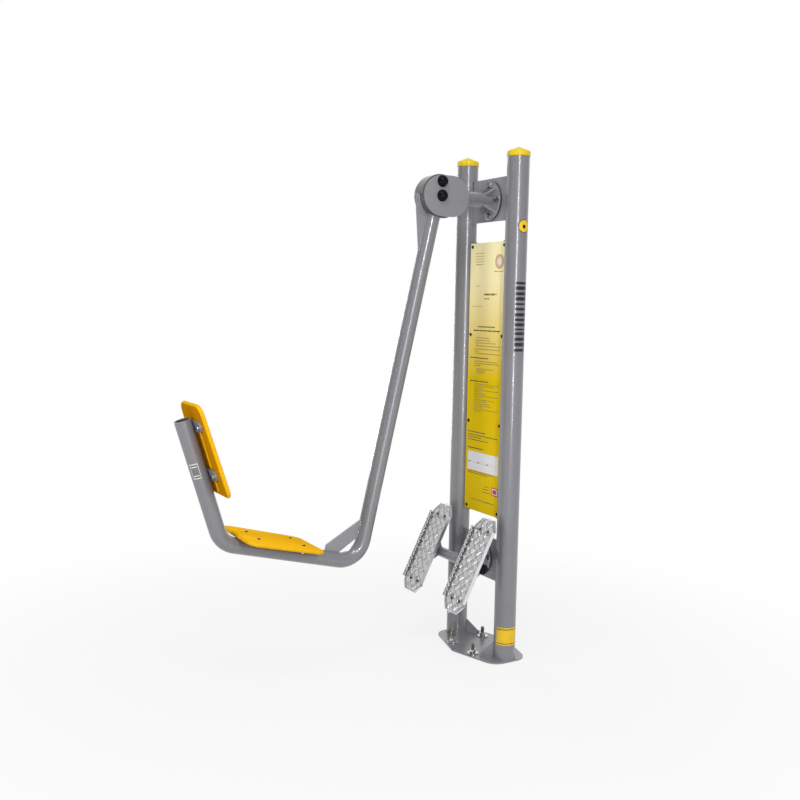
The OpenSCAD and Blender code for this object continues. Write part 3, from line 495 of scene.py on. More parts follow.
def finishes():
    """Every finish of the machine, made once and looked up by name."""
    set_to = bpy.context.scene.leg_press_finishes
    steel, rough, zinc, tread = set_to.steel, set_to.steel_rough, set_to.zinc, set_to.tread
    paint, pebbles = (350, 2, 0.015), (420, 5, 0.1)
    return {
        "steel": finish("silver_grey_powder_coat", steel, rough, 0.15, paint, (5, 0.03), coat=0.5,
                        coat_rough=0.09, rough_range=(rough - 0.03, rough + 0.04, 9)),
        # The plates wear a lighter copy of the steel paint: painted light on the plates.
        "plate": finish("silver_grey_plate_coat", tone(steel, 1.18), rough + 0.04, 0.15, paint,
                        (9, 0.03), coat=0.6, coat_rough=0.28, edge=1),
        # The flanges wear a lighter copy of the steel paint with a near-black rim: painted light on
        # their faces and painted shade on their rims.
        "flange": finish("silver_grey_flange_coat", tone(steel, 1.18), 0.34, 0.15, paint,
                         (9, 0.03), coat=0.6, coat_rough=0.28, edge=0.6, rim=tone(steel, 0.2)),
        # The drum wears a darker copy of the steel paint: painted shade between the hub plates.
        "drum": finish("silver_grey_drum_coat", tone(steel, 0.34), rough, 0.15, paint,
                       (9, 0.03), coat=0.7, coat_rough=0.12, edge=1),
        "weld": finish("painted_weld", tone(steel, 0.98), rough, 0.15, (700, 3, 0.04), (60, 0.08),
                       coat=0.7),
        "cap": finish("yellow_cap_plastic", set_to.cap, 0.34, 0, (300, 2, 0.015), (20, 0.03),
                      specular=0.35),
        "pad_face": finish("pebbled_orange_board", set_to.pad, 0.5, 0, pebbles, (14, 0.04),
                           (0.42, 0.58, 60), specular=0),
        # The boards' routed edges are a darker copy of the board orange: painted shade on the edges.
        "pad_edge": finish("routed_orange_edge", tone(set_to.pad, 0.86), 0.45, 0, (900, 2, 0.03),
                           (90, 0.04), specular=0),
        # The boards' undersides are a darker, redder copy of the board orange: painted shade.
        "pad_rear": finish("shaded_orange_rear", tone(set_to.pad, 0.66, 0.5, 0.2), 0.5, 0, pebbles,
                           (14, 0.04), specular=0),
        "tread": finish("tread_plate_aluminium", tread, 0.5, 1, (160, 3, 0.03), (40, 0.08),
                        (0.44, 0.56, 50)),
        # The tread bars are a lighter, smoother copy of the tread metal: painted highlight on the
        # bars.
        "bars": finish("polished_tread_bars", tone(tread, 1.8), 0.4, 1, (400, 2, 0.01), (90, 0.05)),
        # The inner faces of the tread sides are a darker copy of the tread metal: painted shade.
        "flank": finish("shaded_tread_flank", tone(tread, 0.2), 0.35, 1, (160, 3, 0.03), (40, 0.1)),
        # The outer faces of the tread sides are a lighter, smoother copy of the tread metal: painted
        # light.
        "skirt": finish("smooth_tread_skirt", tone(tread, 1.5), 0.38, 1, (240, 3, 0.02), (40, 0.05)),
        "zinc": finish("zinc_plate", zinc, 0.25, 1, (500, 4, 0.03), (160, 0.12), (0.16, 0.36, 220)),
        # The flange bolts are a darker copy of the zinc: painted shade.
        "bolt": finish("dark_plated_bolt", tone(zinc, 0.42), 0.14, 1, (300, 3, 0.02), (120, 0.1)),
        "stud": finish("yellow_zinc_thread", (0.30, 0.27, 0.20), 0.4, 1, (500, 4, 0.05), (180, 0.2)),
        "shaft": finish("dark_ground_steel", (0.07, 0.07, 0.075), 0.25, 1, (900, 2, 0.01), (40, 0.05)),
        "bronze": finish("oiled_bronze", (0.38, 0.2, 0.07), 0.35, 1, (500, 3, 0.03), (90, 0.12)),
        "black": finish("black_gloss_plastic", (0.006, 0.006, 0.007), 0.1, 0, (200, 2, 0.01),
                        (40, 0.1), specular=0.08),
        "plug": finish("black_soft_plastic", (0.010, 0.010, 0.010), 0.5, 0, (500, 3, 0.05),
                       (60, 0.15), specular=0.03),
        "rubber": finish("stop_rubber", (0.018, 0.018, 0.02), 0.7, 0, (400, 4, 0.1), (60, 0.2)),
        # The panel's sides that don't face along X are painted shade.
        "panel": finish("printed_yellow_panel", set_to.board_low, 0.4, 0, (200, 2, 0.01),
                        specular=0.05, head=set_to.board_high, rim=(0.06, 0.04, 0.01)),
        "dark_ink": finish("board_headline_ink", (0.06, 0.05, 0.012), 0.4, mottle=(90, 0.1)),
        "fine_ink": finish("board_text_ink", (0.22, 0.17, 0.03), 0.4, mottle=(90, 0.1)),
        "white_ink": finish("board_white_field", (0.72, 0.72, 0.74), 0.35, mottle=(20, 0.02)),
        "red_ink": finish("board_red_field", (0.5, 0.02, 0.02), 0.35, mottle=(40, 0.05)),
        "peach_ink": finish("board_peach_field", (0.72, 0.42, 0.22), 0.35, mottle=(30, 0.03)),
        "black_film": finish("black_sticker_film", (0.012, 0.012, 0.014), 0.3, mottle=(50, 0.1)),
        "grey_film": finish("grey_label_film", (0.16, 0.16, 0.17), 0.4, mottle=(40, 0.05)),
        "yellow_film": finish("yellow_sticker_film", (0.72, 0.46, 0.006), 0.35, mottle=(30, 0.04)),
    }


# Settings

def colour(name, text, default):
    return FloatVectorProperty(name=name, description=text, subtype="COLOR", size=3, min=0, max=1,
                               default=default)


def length(name, text, default, least, most):
    return FloatProperty(name=name, description=text, subtype="DISTANCE", unit="LENGTH",
                         min=least, max=most, default=default)


def factor(name, text, default, least, most):
    return FloatProperty(name=name, description=text, subtype="FACTOR", min=least, max=most,
                         default=default)


def power(name, text, default):
    return FloatProperty(name=name, description=text, subtype="POWER", unit="POWER", min=0, max=2000,
                         default=default)


class LegPressFinishes(PropertyGroup):
    steel: colour("Steel paint", "Colour of the powder coated steel", (0.196, 0.194, 0.210))
    steel_rough: factor("Paint roughness", "Roughness of the powder coat", 0.3, 0.05, 1)
    cap: colour("Cap yellow", "Colour of the post caps", (0.66, 0.48, 0.003))
    pad: colour("Board orange", "Colour of the seat and the backrest", (0.84, 0.455, 0.012))
    tread: colour("Tread metal", "Colour of the tread plates", (0.53, 0.535, 0.55))
    zinc: colour("Zinc", "Colour of the plated fasteners", (0.66, 0.68, 0.7))
    board_high: colour("Panel head", "Panel colour at its upper end", (0.93, 0.83, 0.47))
    board_low: colour("Panel foot", "Panel colour at its lower end", (0.72, 0.505, 0.002))


class LegPressDetail(PropertyGroup):
    weld: length("Weld bead", "Radius of a structural weld bead", 0.0028, 0.001, 0.006)
    thread_pitch: length("Thread pitch", "Pitch of the anchor threads", 0.002, 0.001, 0.004)
    pad_round: length("Board edge", "Radius of the boards' routed edges", 0.0068, 0.001, 0.007)
    tread_cell: length("Tread cell", "Side of one group of tread bars", 0.028, 0.015, 0.05)
    tread_rise: length("Tread rise", "Height of a tread bar over the plate", 0.001, 0.0005, 0.003)
    tread_bars: IntProperty(name="Bars in a cell", description="Tread bars in each group",
                            min=1, max=7, default=5)


class LegPressStage(PropertyGroup):
    strip: power("Strip light", "Power of the tall light by the camera", 60)
    top: power("Top light", "Power of the broad light overhead", 46)
    side: power("Side light", "Power of the soft light behind the seat", 40)
    rim: power("Rim light", "Power of the tall light behind the posts", 22)
    sky: factor("Sky", "Strength of the even light from all sides", 0.52, 0, 2)
    floor_size: length("Floor", "Width of the floor", 40, 5, 100)


class Builder:
    """What the operators share: they build once, from the settings."""
    bl_options = {"REGISTER", "UNDO"}

    def execute(self, context):
        self.make(context.scene)
        return {"FINISHED"}


STEELWORK = {
    "steel": "near_post far_post support_tube bearing_hub swing_tube pedal_support_tube "
             "pedal_crossbar",
    # Plates get painted light, flanges painted light with a painted-shade rim, and the drum painted
    # shade.
    "plate": "base_plate post_foot_ribs board_lugs top_bracket_plate lower_bracket_plate "
             "support_gussets near_hub_plate far_hub_plate stop_fins hub_webs hub_gusset corner_brace "
             "seat_cross_bars backrest_cross_bars pedal_support_gussets pedal_carriers carrier_ribs",
    "flange": "support_flange pedal_support_flange",
    "drum": "hub_drum",
    "shaft": "pivot_shaft stop_bolt",
    "rubber": "stop_sleeve",
    "bronze": "pivot_bushes",
    "zinc": "hub_nuts post_cap_screws",
    "plug": "tube_end_plug",
    "panel": "info_board",
}


class LEGPRESS_OT_steelwork(Builder, Operator):
    """Give the welded steelwork its powder coat"""
    bl_idname = "leg_press.steelwork"
    bl_label = "Coat the steelwork"

    def make(self, scene):
        for kind, names in STEELWORK.items():
            for name in names.split():
                slots = NODES[name].data.materials
                slots.clear()
                slots.append(finishes()[kind])


class LEGPRESS_OT_pylon_welds(Builder, Operator):
    """Lay the weld beads of the pylon"""
    bl_idname = "leg_press.pylon_welds"
    bl_label = "Weld the pylon"

    def make(self, scene):
        r = scene.leg_press_detail.weld / MM
        feet, bars, relief_and_painted_shadow, ribs = Shape(), Shape(), Shape(), Shape()
        for side in SIDES:
            foot = Vector((0, side * POST_Y, BASE_T))
            feet.add(bead(arc(foot + Z * r * 0.2, X, Y, POST_R + r * 0.25), r * 1.15, closed=True))
            for lean, flank in product((RIB_TURN, 180 - RIB_TURN), SIDES):
                out, across = (turn("Z", -side * lean) @ axis for axis in (X, Y))
                root = foot + across * flank * (RIB_T / 2 + 0.3)
                upright = root + out * (POST_R + 0.2)
                feet.add(bead([root + out * POST_R, root + out * (POST_R + RIB_REACH)], r * 0.7))
                feet.add(bead([upright, upright + Z * RIB_H], r * 0.7))
        feet.build("post_foot_welds", "weld", "steel_paint")

        for thick, tall, heights, off, sunk, share in (
                (BRACKET_T, BRACKET_H, (ARM_Z + TOP_LIFT, PEDAL_Z), 0.3, 0.6, 0.9),
                (LUG_T, LUG_H, BOARD_SCREW_Z, 0.2, 0.4, 0.6)):
            edge = POST_Y - math.sqrt(POST_R ** 2 - (thick / 2) ** 2) - sunk
            for height, side, face in product(heights, SIDES, SIDES):
                middle = Vector((face * (thick / 2 + off), side * edge, height))
                bars.add(bead([middle - Z * tall / 2, middle + Z * tall / 2], r * share))
        bars.build("bracket_welds", "weld", "steel_paint")
        # Painted shadow: a thin black strip where the top bracket plate meets the far post.
        relief_and_painted_shadow.add(box(*BRACKET_SHADOW_STRIP))
        relief_and_painted_shadow.build("bracket_relief_slot", "plug", "black_plastic")

        for name, height, radius in (("support_welds", ARM_Z, TUBE_R),
                                     ("pedal_support_welds", PEDAL_Z, PEDAL_SUPPORT_R)):
            joints = Shape()
            centre = Vector((FLANGE_FRONT - r * 0.2, 0, height))
            joints.add(bead(arc(centre, Y, Z, radius + r * 0.2), r, closed=True))
            inner = math.sqrt(radius ** 2 - (GUSSET_T / 2) ** 2) + 0.4
            for quarter, flank in product(range(4), SIDES):
                out, across = (turn("X", 45 + 90 * quarter) @ axis for axis in (Z, Y))
                start = across * flank * (GUSSET_T / 2 + 0.2) + Z * height + X * FLANGE_FRONT
                corner = start + out * inner
                for end in (corner - X * GUSSET_LEG, start + out * (radius + GUSSET_LEG)):
                    joints.add(bead([corner, end], r * 0.6))
            if height == PEDAL_Z:
                ring = []
                for across, up, _ in circle(radius, 0):
                    ring.append((-PEDAL_REACH + math.sqrt(PEDAL_BAR_R ** 2 - up ** 2) + 0.3,
                                 across * 1.02, height + up * 1.02))
                joints.add(bead(ring, r * 0.8, closed=True))
            joints.build(name, "weld", "steel_paint")

        for side, rib, flank in product(SIDES, SIDES, SIDES):
            off = rib * CARRIER_RIB_Y + flank * (CARRIER_RIB_T / 2 + 0.2)
            place = on_pedal(side) @ shift(PEDAL_DROP, off)
            seam = arc(Vector(), X, Z, PEDAL_BAR_R * 1.01, 20, 160, 14)
            ribs.add(bead([place @ p for p in seam], r * 0.6))
        ribs.build("carrier_rib_welds", "weld", "steel_paint")


class LEGPRESS_OT_swing_welds(Builder, Operator):
    """Lay the weld beads of the swinging frame"""
    bl_idname = "leg_press.swing_welds"
    bl_label = "Weld the swing frame"

    def make(self, scene):
        r = scene.leg_press_detail.weld / MM
        down = (LOWER_CORNER - PIVOT).normalized()
        left = Vector((down.z, 0, -down.x))
        seat_run = (REAR_CORNER - LOWER_CORNER).normalized()
        seat_up = Vector((seat_run.z, 0, -seat_run.x))
        welds, brace, bars = Shape(), Shape(), Shape()
        ring = []
        for a in angles(60):
            off = TUBE_R * math.cos(a)
            ring.append(PIVOT + down * (math.sqrt(DRUM_R ** 2 - off ** 2) + 0.4) + left * off * 1.01
                        + Y * min(28.0, max(-28.0, TUBE_R * 1.01 * math.sin(a))))
        welds.add(bead(ring, r, closed=True))
        on_tube = math.sqrt(TUBE_R ** 2 - (GUSSET_T / 2) ** 2) + 0.3
        for flank in SIDES:
            off = Y * flank * (GUSSET_T / 2 + 0.2)
            start = PIVOT + left * (TUBE_R + 0.2) + off
            welds.add(bead([start + down * DRUM_R, start + down * HUB_GUSSET_END], r * 1.05))
            welds.add(bead(arc(PIVOT + off, X, Z, DRUM_R + 0.3, 178, 228, 12), r * 0.9))
            for run, up, end in ((seat_run, seat_up, BRACE_ON_SEAT_LEG), (-down, left, BRACE_ON_ARM)):
                brace.add(bead([LOWER_CORNER + off + run * s + up * on_tube
                                for s in (BRACE_START, end)], r * 0.7))
        for place, under in ((ON_SEAT, SEAT_UNDER), (ON_BACK, BACK_UNDER)):
            reach = math.sqrt(max(TUBE_R ** 2 - (under - BAR_T) ** 2, 1.0))
            for end, edge, flank in product(SIDES, SIDES, SIDES):
                along = end * SEAT_BOLTS[0] + edge * BAR_HALF_W * 1.02
                bars.add(bead([place @ Vector((along, flank * w, under - BAR_T))
                               for w in (reach * 0.2, reach + 4)], r * 0.6))
        for shape, name in ((welds, "hub_gusset_welds"), (brace, "corner_brace_welds"),
                            (bars, "cross_bar_welds")):
            shape.build(name, "weld", "steel_paint", body="swing_frame")


class LEGPRESS_OT_post_caps(Builder, Operator):
    """Turn the moulded yellow caps of the posts"""
    bl_idname = "leg_press.post_caps"
    bl_label = "Fit the post caps"

    def make(self, scene):
        rim = POST_TOP + CAP_RIM
        top = rim + CAP_RISE
        low = POST_TOP - CAP_SKIRT
        bore = POST_R + CAP_PLAY
        profile = [(0.0, POST_TOP + CAP_PLAY), (bore, POST_TOP + CAP_PLAY), (bore, low + 0.4),
                   (POST_R + 0.5, low), (CAP_R - 0.5, low), (CAP_R, low + 0.5),
                   (CAP_R, rim - 2.2), (CAP_R - 0.25, rim - 1.0), (CAP_R - 1.0, rim + 0.1)]
        profile += [(CAP_R * (1 - share), rim + CAP_RISE * share)
                    for share in (0.2, 0.4, 0.6, 0.8, 0.93)]
        profile += [(CAP_R * 0.03, top - CAP_RISE * 0.045), (0.0, top - CAP_RISE * 0.035)]
        for side, name in zip(SIDES, ("near", "far")):
            cap = Shape()
            cap.add(lathe(profile, 96), shift(0, side * POST_Y, 0))
            cap.build(f"{name}_moulded_cap", "cap", "cap_yellow", f"{name}_post_cap", sharp=50)


class LEGPRESS_OT_ground_anchors(Builder, Operator):
    """Thread the anchor studs and set their washers and nuts"""
    bl_idname = "leg_press.ground_anchors"
    bl_label = "Set the ground anchors"

    def make(self, scene):
        pitch = scene.leg_press_detail.thread_pitch / MM
        studs, washers, nuts = Shape(), Shape(), Shape()
        turns = random.Random(11)
        for x, y in product(STUD_X, STUD_Y):
            place = shift(x, y, 0) @ turn("Z", turns.uniform(0, 60))
            studs.add(threaded(STUD_R, 0.0, STUD_TOP, pitch), place)
            washers.add(washer(STUD_WASHER_R, STUD_R + 0.3, STUD_WASHER_T), place @ shift(z=BASE_T))
            nuts.add(nut(STUD_R * 2, STUD_NUT_H), place @ shift(z=BASE_T + STUD_WASHER_T))
        studs.build("threaded_anchor_studs", "stud", "zinc_fasteners", "anchor_studs")
        washers.build("wide_anchor_washers", "zinc", "zinc_fasteners", "anchor_washers")
        nuts.build("chamfered_anchor_nuts", "zinc", "zinc_fasteners", "anchor_nuts")


class LEGPRESS_OT_flange_fasteners(Builder, Operator):
    """Bolt both flanges to their bracket plates"""
    bl_idname = "leg_press.flange_fasteners"
    bl_label = "Bolt the flanges"

    def make(self, scene):
        d = FLANGE_BOLT_D
        bolts, washers, nuts = Shape(), Shape(), Shape()
        turns = random.Random(5)
        head_face = FLANGE_FRONT - FLANGE_WASHER_T
        nut_face = BRACKET_T / 2 + FLANGE_WASHER_T
        for height, quarter in product((ARM_Z, PEDAL_Z), range(4)):
            place = on_flange(height, quarter) @ turn("Z", turns.uniform(0, 60))
            bolts.add(bolt_head(d, d * 0.625), place @ shift(z=head_face) @ turn("X", 180))
            bolts.add(threaded(d / 2, head_face + 0.2, nut_face + d * (NUT_H + 0.25), 2.0), place)
            for z in (head_face, BRACKET_T / 2):
                washers.add(washer(FLANGE_WASHER_R, d / 2 + 0.2, FLANGE_WASHER_T), place @ shift(z=z))
            nuts.add(nut(d, d * NUT_H), place @ shift(z=nut_face))
        # The bolt heads and threads take the bolt finish's painted shade.
        bolts.build("chamfered_flange_bolts", "bolt", "zinc_fasteners", "flange_bolts")
        washers.build("plated_flange_washers", "zinc", "zinc_fasteners", "flange_washers")
        nuts.build("chamfered_flange_nuts", "zinc", "zinc_fasteners", "flange_nuts")


class LEGPRESS_OT_hub_caps(Builder, Operator):
    """Snap the black dome caps over the hub's nuts"""
    bl_idname = "leg_press.hub_caps"
    bl_label = "Fit the dome caps"

    def make(self, scene):
        domes = Shape()
        profile = [(0.0, 12.9), (DOME_BORE, 12.9), (DOME_BORE, 1.0), (DOME_BORE + 0.6, 0.0),
                   (DOME_R - 0.4, 0.0), (DOME_R, 0.4), (DOME_R, 2.2), (DOME_R - 0.35, 2.7),
                   (DOME_R - 0.9, 2.9)]
        profile += [((DOME_R - 0.6) * math.cos(a), DOME_R * math.sin(a))
                    for a in (math.radians(8 + 82 * i / 11) for i in range(1, 11))]
        profile.append((0.0, DOME_R))
        for rise, half in product((0.0, STOP_RISE), (0, 180)):
            place = Matrix.Translation(PIVOT + Z * rise) @ turn("X", 90 + half)
            domes.add(lathe(profile, 64), place @ shift(z=HUB_FACE))
        domes.build("glossy_dome_caps", "black", "black_plastic", "hub_dome_caps", sharp=60)


def pad_rings(outline, under, edge):
    """Rings of a board with rounded corners and routed edges, from its underside up."""
    length, first_w, last_w, radii = outline
    corners = [Vector((-length / 2, -first_w / 2)), Vector((length / 2, -last_w / 2)),
               Vector((length / 2, last_w / 2)), Vector((-length / 2, first_w / 2))]
    spots = []
    for i, (corner, radius) in enumerate(zip(corners, radii)):
        back = (corners[i - 1] - corner).normalized()
        ahead = (corners[(i + 1) % 4] - corner).normalized()
        half = math.acos(max(-1, min(1, back.dot(ahead)))) / 2
        centre = corner + (back + ahead).normalized() * radius / math.sin(half)
        first = math.atan2(back.x, -back.y)
        sweep = (math.atan2(-ahead.x, ahead.y) - first) % FULL_TURN
        for k in range(13):
            a = first + sweep * k / 12
            spots.append((centre, Vector((math.cos(a), math.sin(a))), radius))
    levels = []
    for k in range(6):
        a = math.radians(90 * k / 5)
        levels.append((edge * (1 - math.sin(a)), under + edge * (1 - math.cos(a))))
    levels += [(inset, 2 * under + PAD_T - z) for inset, z in reversed(levels)]
    return [[(*(centre + out * (radius - inset)), z) for centre, out, radius in spots]
            for inset, z in levels]


class LEGPRESS_OT_boards(Builder, Operator):
    """Cut the orange seat and backrest boards"""
    bl_idname = "leg_press.boards"
    bl_label = "Cut the seat boards"

    def make(self, scene):
        edge = scene.leg_press_detail.pad_round / MM
        for name, outline, under, place, beads in (
                ("seat", SEAT_OUTLINE, SEAT_UNDER, ON_SEAT, ()),
                ("backrest", BACK_OUTLINE, BACK_UNDER, ON_BACK, BACK_BEADS)):
            slab = Shape()
            part = skin(pad_rings(outline, under, edge))
            # The sides take the edge finish and the underside the rear finish, both painted shade; the
            # top keeps the board orange.
            slab.add(part, place, [1] * (len(part[1]) - 2) + [2, 0])
            for run in beads:
                slab.add(bead([(x, -BACK_BEAD_Y, under) for x in run], BACK_BEAD_R, ripple=1e9),
                         place, 1)
            slab.build(f"{name}_slab", "pad_face pad_edge pad_rear", "seat_plastic", f"{name}_board",
                       body="swing_frame", sharp=40)


def socket_screws(name, nodes, spots, turns, d, grip, look="shaft zinc_fasteners", body="pylon",
                  pitch=1.25, tail=8.5):
    """Socket screws at places whose Z leaves the face under the head, each with a nut and a tail
    beyond its grip."""
    screws, nuts = Shape(), Shape()
    for spot in spots:
        spot = spot @ turn("Z", turns.uniform(0, 60))
        screws.add(button_head(d, 1.0), spot)
        screws.add(threaded(d / 2, -(grip + tail), -0.5, pitch), spot)
        nuts.add(nut(d, d * NUT_H), spot @ shift(z=-grip - d * NUT_H))
    screws.build(f"{name}_socket_screws", *look.split(), nodes[0], body=body)
    nuts.build(f"{name}_plated_nuts", "zinc", "zinc_fasteners", nodes[1], body=body)


class LEGPRESS_OT_board_fasteners(Builder, Operator):
    """Screw the boards to their cross bars"""
    bl_idname = "leg_press.board_fasteners"
    bl_label = "Screw the boards on"

    def make(self, scene):
        turns = random.Random(3)
        for name, under, place in (("seat", SEAT_UNDER, ON_SEAT), ("backrest", BACK_UNDER, ON_BACK)):
            spots = [place @ shift(x * SEAT_BOLTS[0], y * SEAT_BOLTS[1], under + PAD_T)
                     for x, y in product(SIDES, SIDES)]
            socket_screws(name, (f"{name}_bolts", f"{name}_nuts"), spots, turns, PAD_BOLT_D,
                          PAD_T + BAR_T, body="swing_frame")


def tread_bar(length, width, rise):
    """One lens of the tread pattern, sunk a little into the plate."""
    ends, flank = length / 2, width / 2
    low = [(-ends, 0), (-ends * 0.8, -flank), (ends * 0.8, -flank), (ends, 0),
           (ends * 0.8, flank), (-ends * 0.8, flank)]
    return skin([[(x, y, -0.3) for x, y in low], [(x * 0.82, y * 0.25, rise) for x, y in low]])


def tread_spots(cell, bars):
    """Places of the tread bars in groups that turn from cell to cell, clear of the plate's screws,
    bends and cut corners."""
    half, half_w = PEDAL_LEN / 2, PEDAL_W / 2
    cut_len, cut_w = PEDAL_CORNER
    reach = int((half + half_w) / cell) + 1
    diagonal = math.sqrt(0.5)
    for i, j in product(range(-reach, reach + 1), repeat=2):
        centre = Vector(((i - j) * cell * diagonal, (i + j) * cell * diagonal))
        lean = 45.0 if (i + j) % 2 else -45.0
        across = Vector((-math.sin(math.radians(lean)), math.cos(math.radians(lean))))
        for k in range(bars):
            spot = centre + across * cell * ((k + 0.5) / bars - 0.5)
            x, y = abs(spot.x), abs(spot.y)
            over = (x - (half - cut_len)) / cut_len
            limit = half_w - TREAD_BEND - 3 if over < 0 else half_w - cut_w * over - 12
            off_screw = math.hypot(x - PEDAL_SCREWS[0], y - PEDAL_SCREWS[1])
            if x < half and y < half_w and off_screw >= 13 and y < limit:
                yield spot, lean


class LEGPRESS_OT_treads(Builder, Operator):
    """Press the five bar tread plates and bend up their sides"""
    bl_idname = "leg_press.treads"
    bl_label = "Press the treads"

    def make(self, scene):
        set_to = scene.leg_press_detail
        cell, rise, bars = set_to.tread_cell / MM, set_to.tread_rise / MM, set_to.tread_bars
        half, half_w = PEDAL_LEN / 2, PEDAL_W / 2
        cut_len, cut_w = PEDAL_CORNER
        flange = PEDAL_FLANGE_LEN / 2
        top, under = PEDAL_TOP, PEDAL_TOP - PEDAL_T
        inner, wall, lip = half_w - TREAD_BEND, half_w + TREAD_LEAN, top + PEDAL_FLANGE_H

        quarter = [(half, half_w - cut_w), (half - cut_len, half_w), (flange + 1.5, half_w),
                   (flange + 1.5, inner)]
        outline = quarter + [(-x, y) for x, y in reversed(quarter)]
        outline += [(-x, -y) for x, y in outline]
        levels = ((under, 0.4), (under + 0.4, 0.0), (top - 0.4, 0.0), (top, 0.4))
        sheet = skin([[(x - math.copysign(inset, x), y - math.copysign(inset, y), z)
                       for x, y in outline] for z, inset in levels])
        section = []
        for k in range(6):
            a = math.radians(-90 + 90 * k / 5)
            section.append((inner + TREAD_BEND * math.cos(a),
                            under + TREAD_BEND + TREAD_BEND * math.sin(a)))
        section += [(wall, lip - TREAD_FILLET), (wall - TREAD_FILLET, lip),
                    (wall - PEDAL_T + TREAD_FILLET, lip), (wall - PEDAL_T, lip - TREAD_FILLET),
                    (half_w - PEDAL_T + 0.3, top + 2.2), (half_w - PEDAL_T - 0.6, top + 0.7),
                    (half_w - PEDAL_T - 2.0, top), (inner - 2.0, top), (inner - 2.0, under)]
        sides = len(section)
        inside = range(sides - 6, sides - 2)
        teeth = int(2 * flange / TOOTH_PITCH)

        for side, name in ((1, "left"), (-1, "right")):
            place = on_pedal(side)
            plate = Shape()
            plate.add(sheet, place)
            for flank in SIDES:
                part = skin([[(x, flank * y, z) for y, z in section]
                             for x in (-flange, -flange + 0.4, flange - 0.4, flange)])
                # The inner faces of the sides get painted shade and the rest of the sides painted
                # light.
                plate.add(part, place, [2 if i % sides in inside else 3 for i in range(len(part[1]))])
                for i in range(teeth):
                    along = (i + 0.5) * 2 * flange / teeth - flange
                    spot = place @ shift(along, flank * (half_w - PEDAL_T + 0.9), top + 8.6)
                    lean = TOOTH_LEAN if i % 2 else -TOOTH_LEAN
                    spot = spot @ turn("X", 90 * flank) @ turn("Z", lean)
                    # The teeth carry the bars' painted highlight.
                    plate.add(tread_bar(*TOOTH_SIZE, rise * 1.6), spot, 1)
            for spot, lean in tread_spots(cell, bars):
                plate.add(tread_bar(cell * 0.9, cell / bars * 0.68, rise),
                          place @ shift(spot.x, spot.y, top) @ turn("Z", lean), 1)
            for end in SIDES:
                rim = [place @ Vector((end * x, y, top - 0.6)) for x, y in (
                    (half - cut_len + 4, -half_w + 3), (half - 2, cut_w - half_w + 2),
                    (half - 2, half_w - cut_w - 2), (half - cut_len + 4, half_w - 3))]
                # The lips at the ends carry the bars' painted highlight.
                plate.add(bead(rim, 2.0, ripple=1e9), finish=1)
            plate.build(f"{name}_tread_plate", "tread bars flank skirt", "tread_aluminium",
                        f"{name}_pedal", sharp=30)


class LEGPRESS_OT_pedal_trim(Builder, Operator):
    """Screw the treads down and close the crossbar's ends"""
    bl_idname = "leg_press.pedal_trim"
    bl_label = "Finish the pedals"

    def make(self, scene):
        spots = [on_pedal(side) @ shift(x * PEDAL_SCREWS[0], y * PEDAL_SCREWS[1], PEDAL_TOP)
                 for side, x, y in product(SIDES, SIDES, SIDES)]
        socket_screws("tread", ("pedal_screws", "pedal_nuts"), spots, random.Random(8), PEDAL_SCREW_D,
                      PEDAL_T + CARRIER_T, pitch=1.0, tail=6.3)
        ends = Shape()
        dome = [(18.0, -18.0), (18.0, 0.0), (PEDAL_BAR_R - 0.3, 0.0), (PEDAL_BAR_R, 0.5),
                (PEDAL_BAR_R, 1.6)]
        dome += [(PEDAL_BAR_R * math.cos(a) ** 0.8, 1.6 + 7.3 * math.sin(a))
                 for a in (math.radians(90 * i / 8) for i in range(1, 8))]
        dome.append((0.0, 8.9))
        for side in SIDES:
            ends.add(lathe(dome, 64), shift(-PEDAL_REACH, side * PEDAL_BAR_LEN / 2, PEDAL_Z)
                     @ turn("X", -90 * side))
        ends.build("domed_crossbar_ends", "black", "black_plastic", "crossbar_end_caps", sharp=60)


# Rows of the panel by ink, in the order of their random words: left edge, distance below the top,
# length and height. A paragraph stands between them and the fields: left edge, distance below the
# top, pitch and the lengths of its rows.
PANEL_ROWS = (
    ("fine", ((38, 43, 56, 3), (38, 55, 60, 3), (39, 66, 58, 3), (39, 78, 60, 3), (40, 89, 56, 3),
              (171, 120, 64, 4), (46, 178, 27, 3), (105, 213, 86, 11), (105, 231, 36, 6),
              (23, 262, 66, 2.5))),
    ("dark", ((66, 347, 118, 7), (34, 363, 188, 7))),
    ("fine", ((54, 394, 94, 4), (50, 404, 104, 4), (48, 415, 146, 4), (52, 427, 176, 4),
              (46, 441, 178, 4), (46, 450, 30, 4), (47, 459, 176, 4))),
    ("dark", ((16, 478, 130, 6),)),
    ("fine", ((46, 492, 164, 4), (46, 501, 172, 4), (46, 510, 42, 4), (60, 524, 120, 4),
              (62, 532, 66, 4), (63, 540, 56, 4))),
    ("dark", ((18, 576, 132, 7), (12, 793, 124, 6), (12, 806, 214, 5), (12, 816, 96, 5),
              (13, 827, 144, 5), (15, 862, 110, 7), (19, 962, 186, 4.5), (19, 970, 140, 4.5),
              (143, 1015, 30, 4), (134, 1027, 42, 4), (127, 1040, 56, 4), (50, 1081, 156, 4))),
)
PANEL_PARAGRAPH = (50, 588, 8.2, (174, 148, 66, 172, 50, 84, 170, 46, 142, 92, 116, 122, 64, 168, 60))
PANEL_SEAL = (206, 80, ((29.0, -0.02, 0.15), (26.5, 0.1, 0.25), (15.0, 0.2, 0.35)))


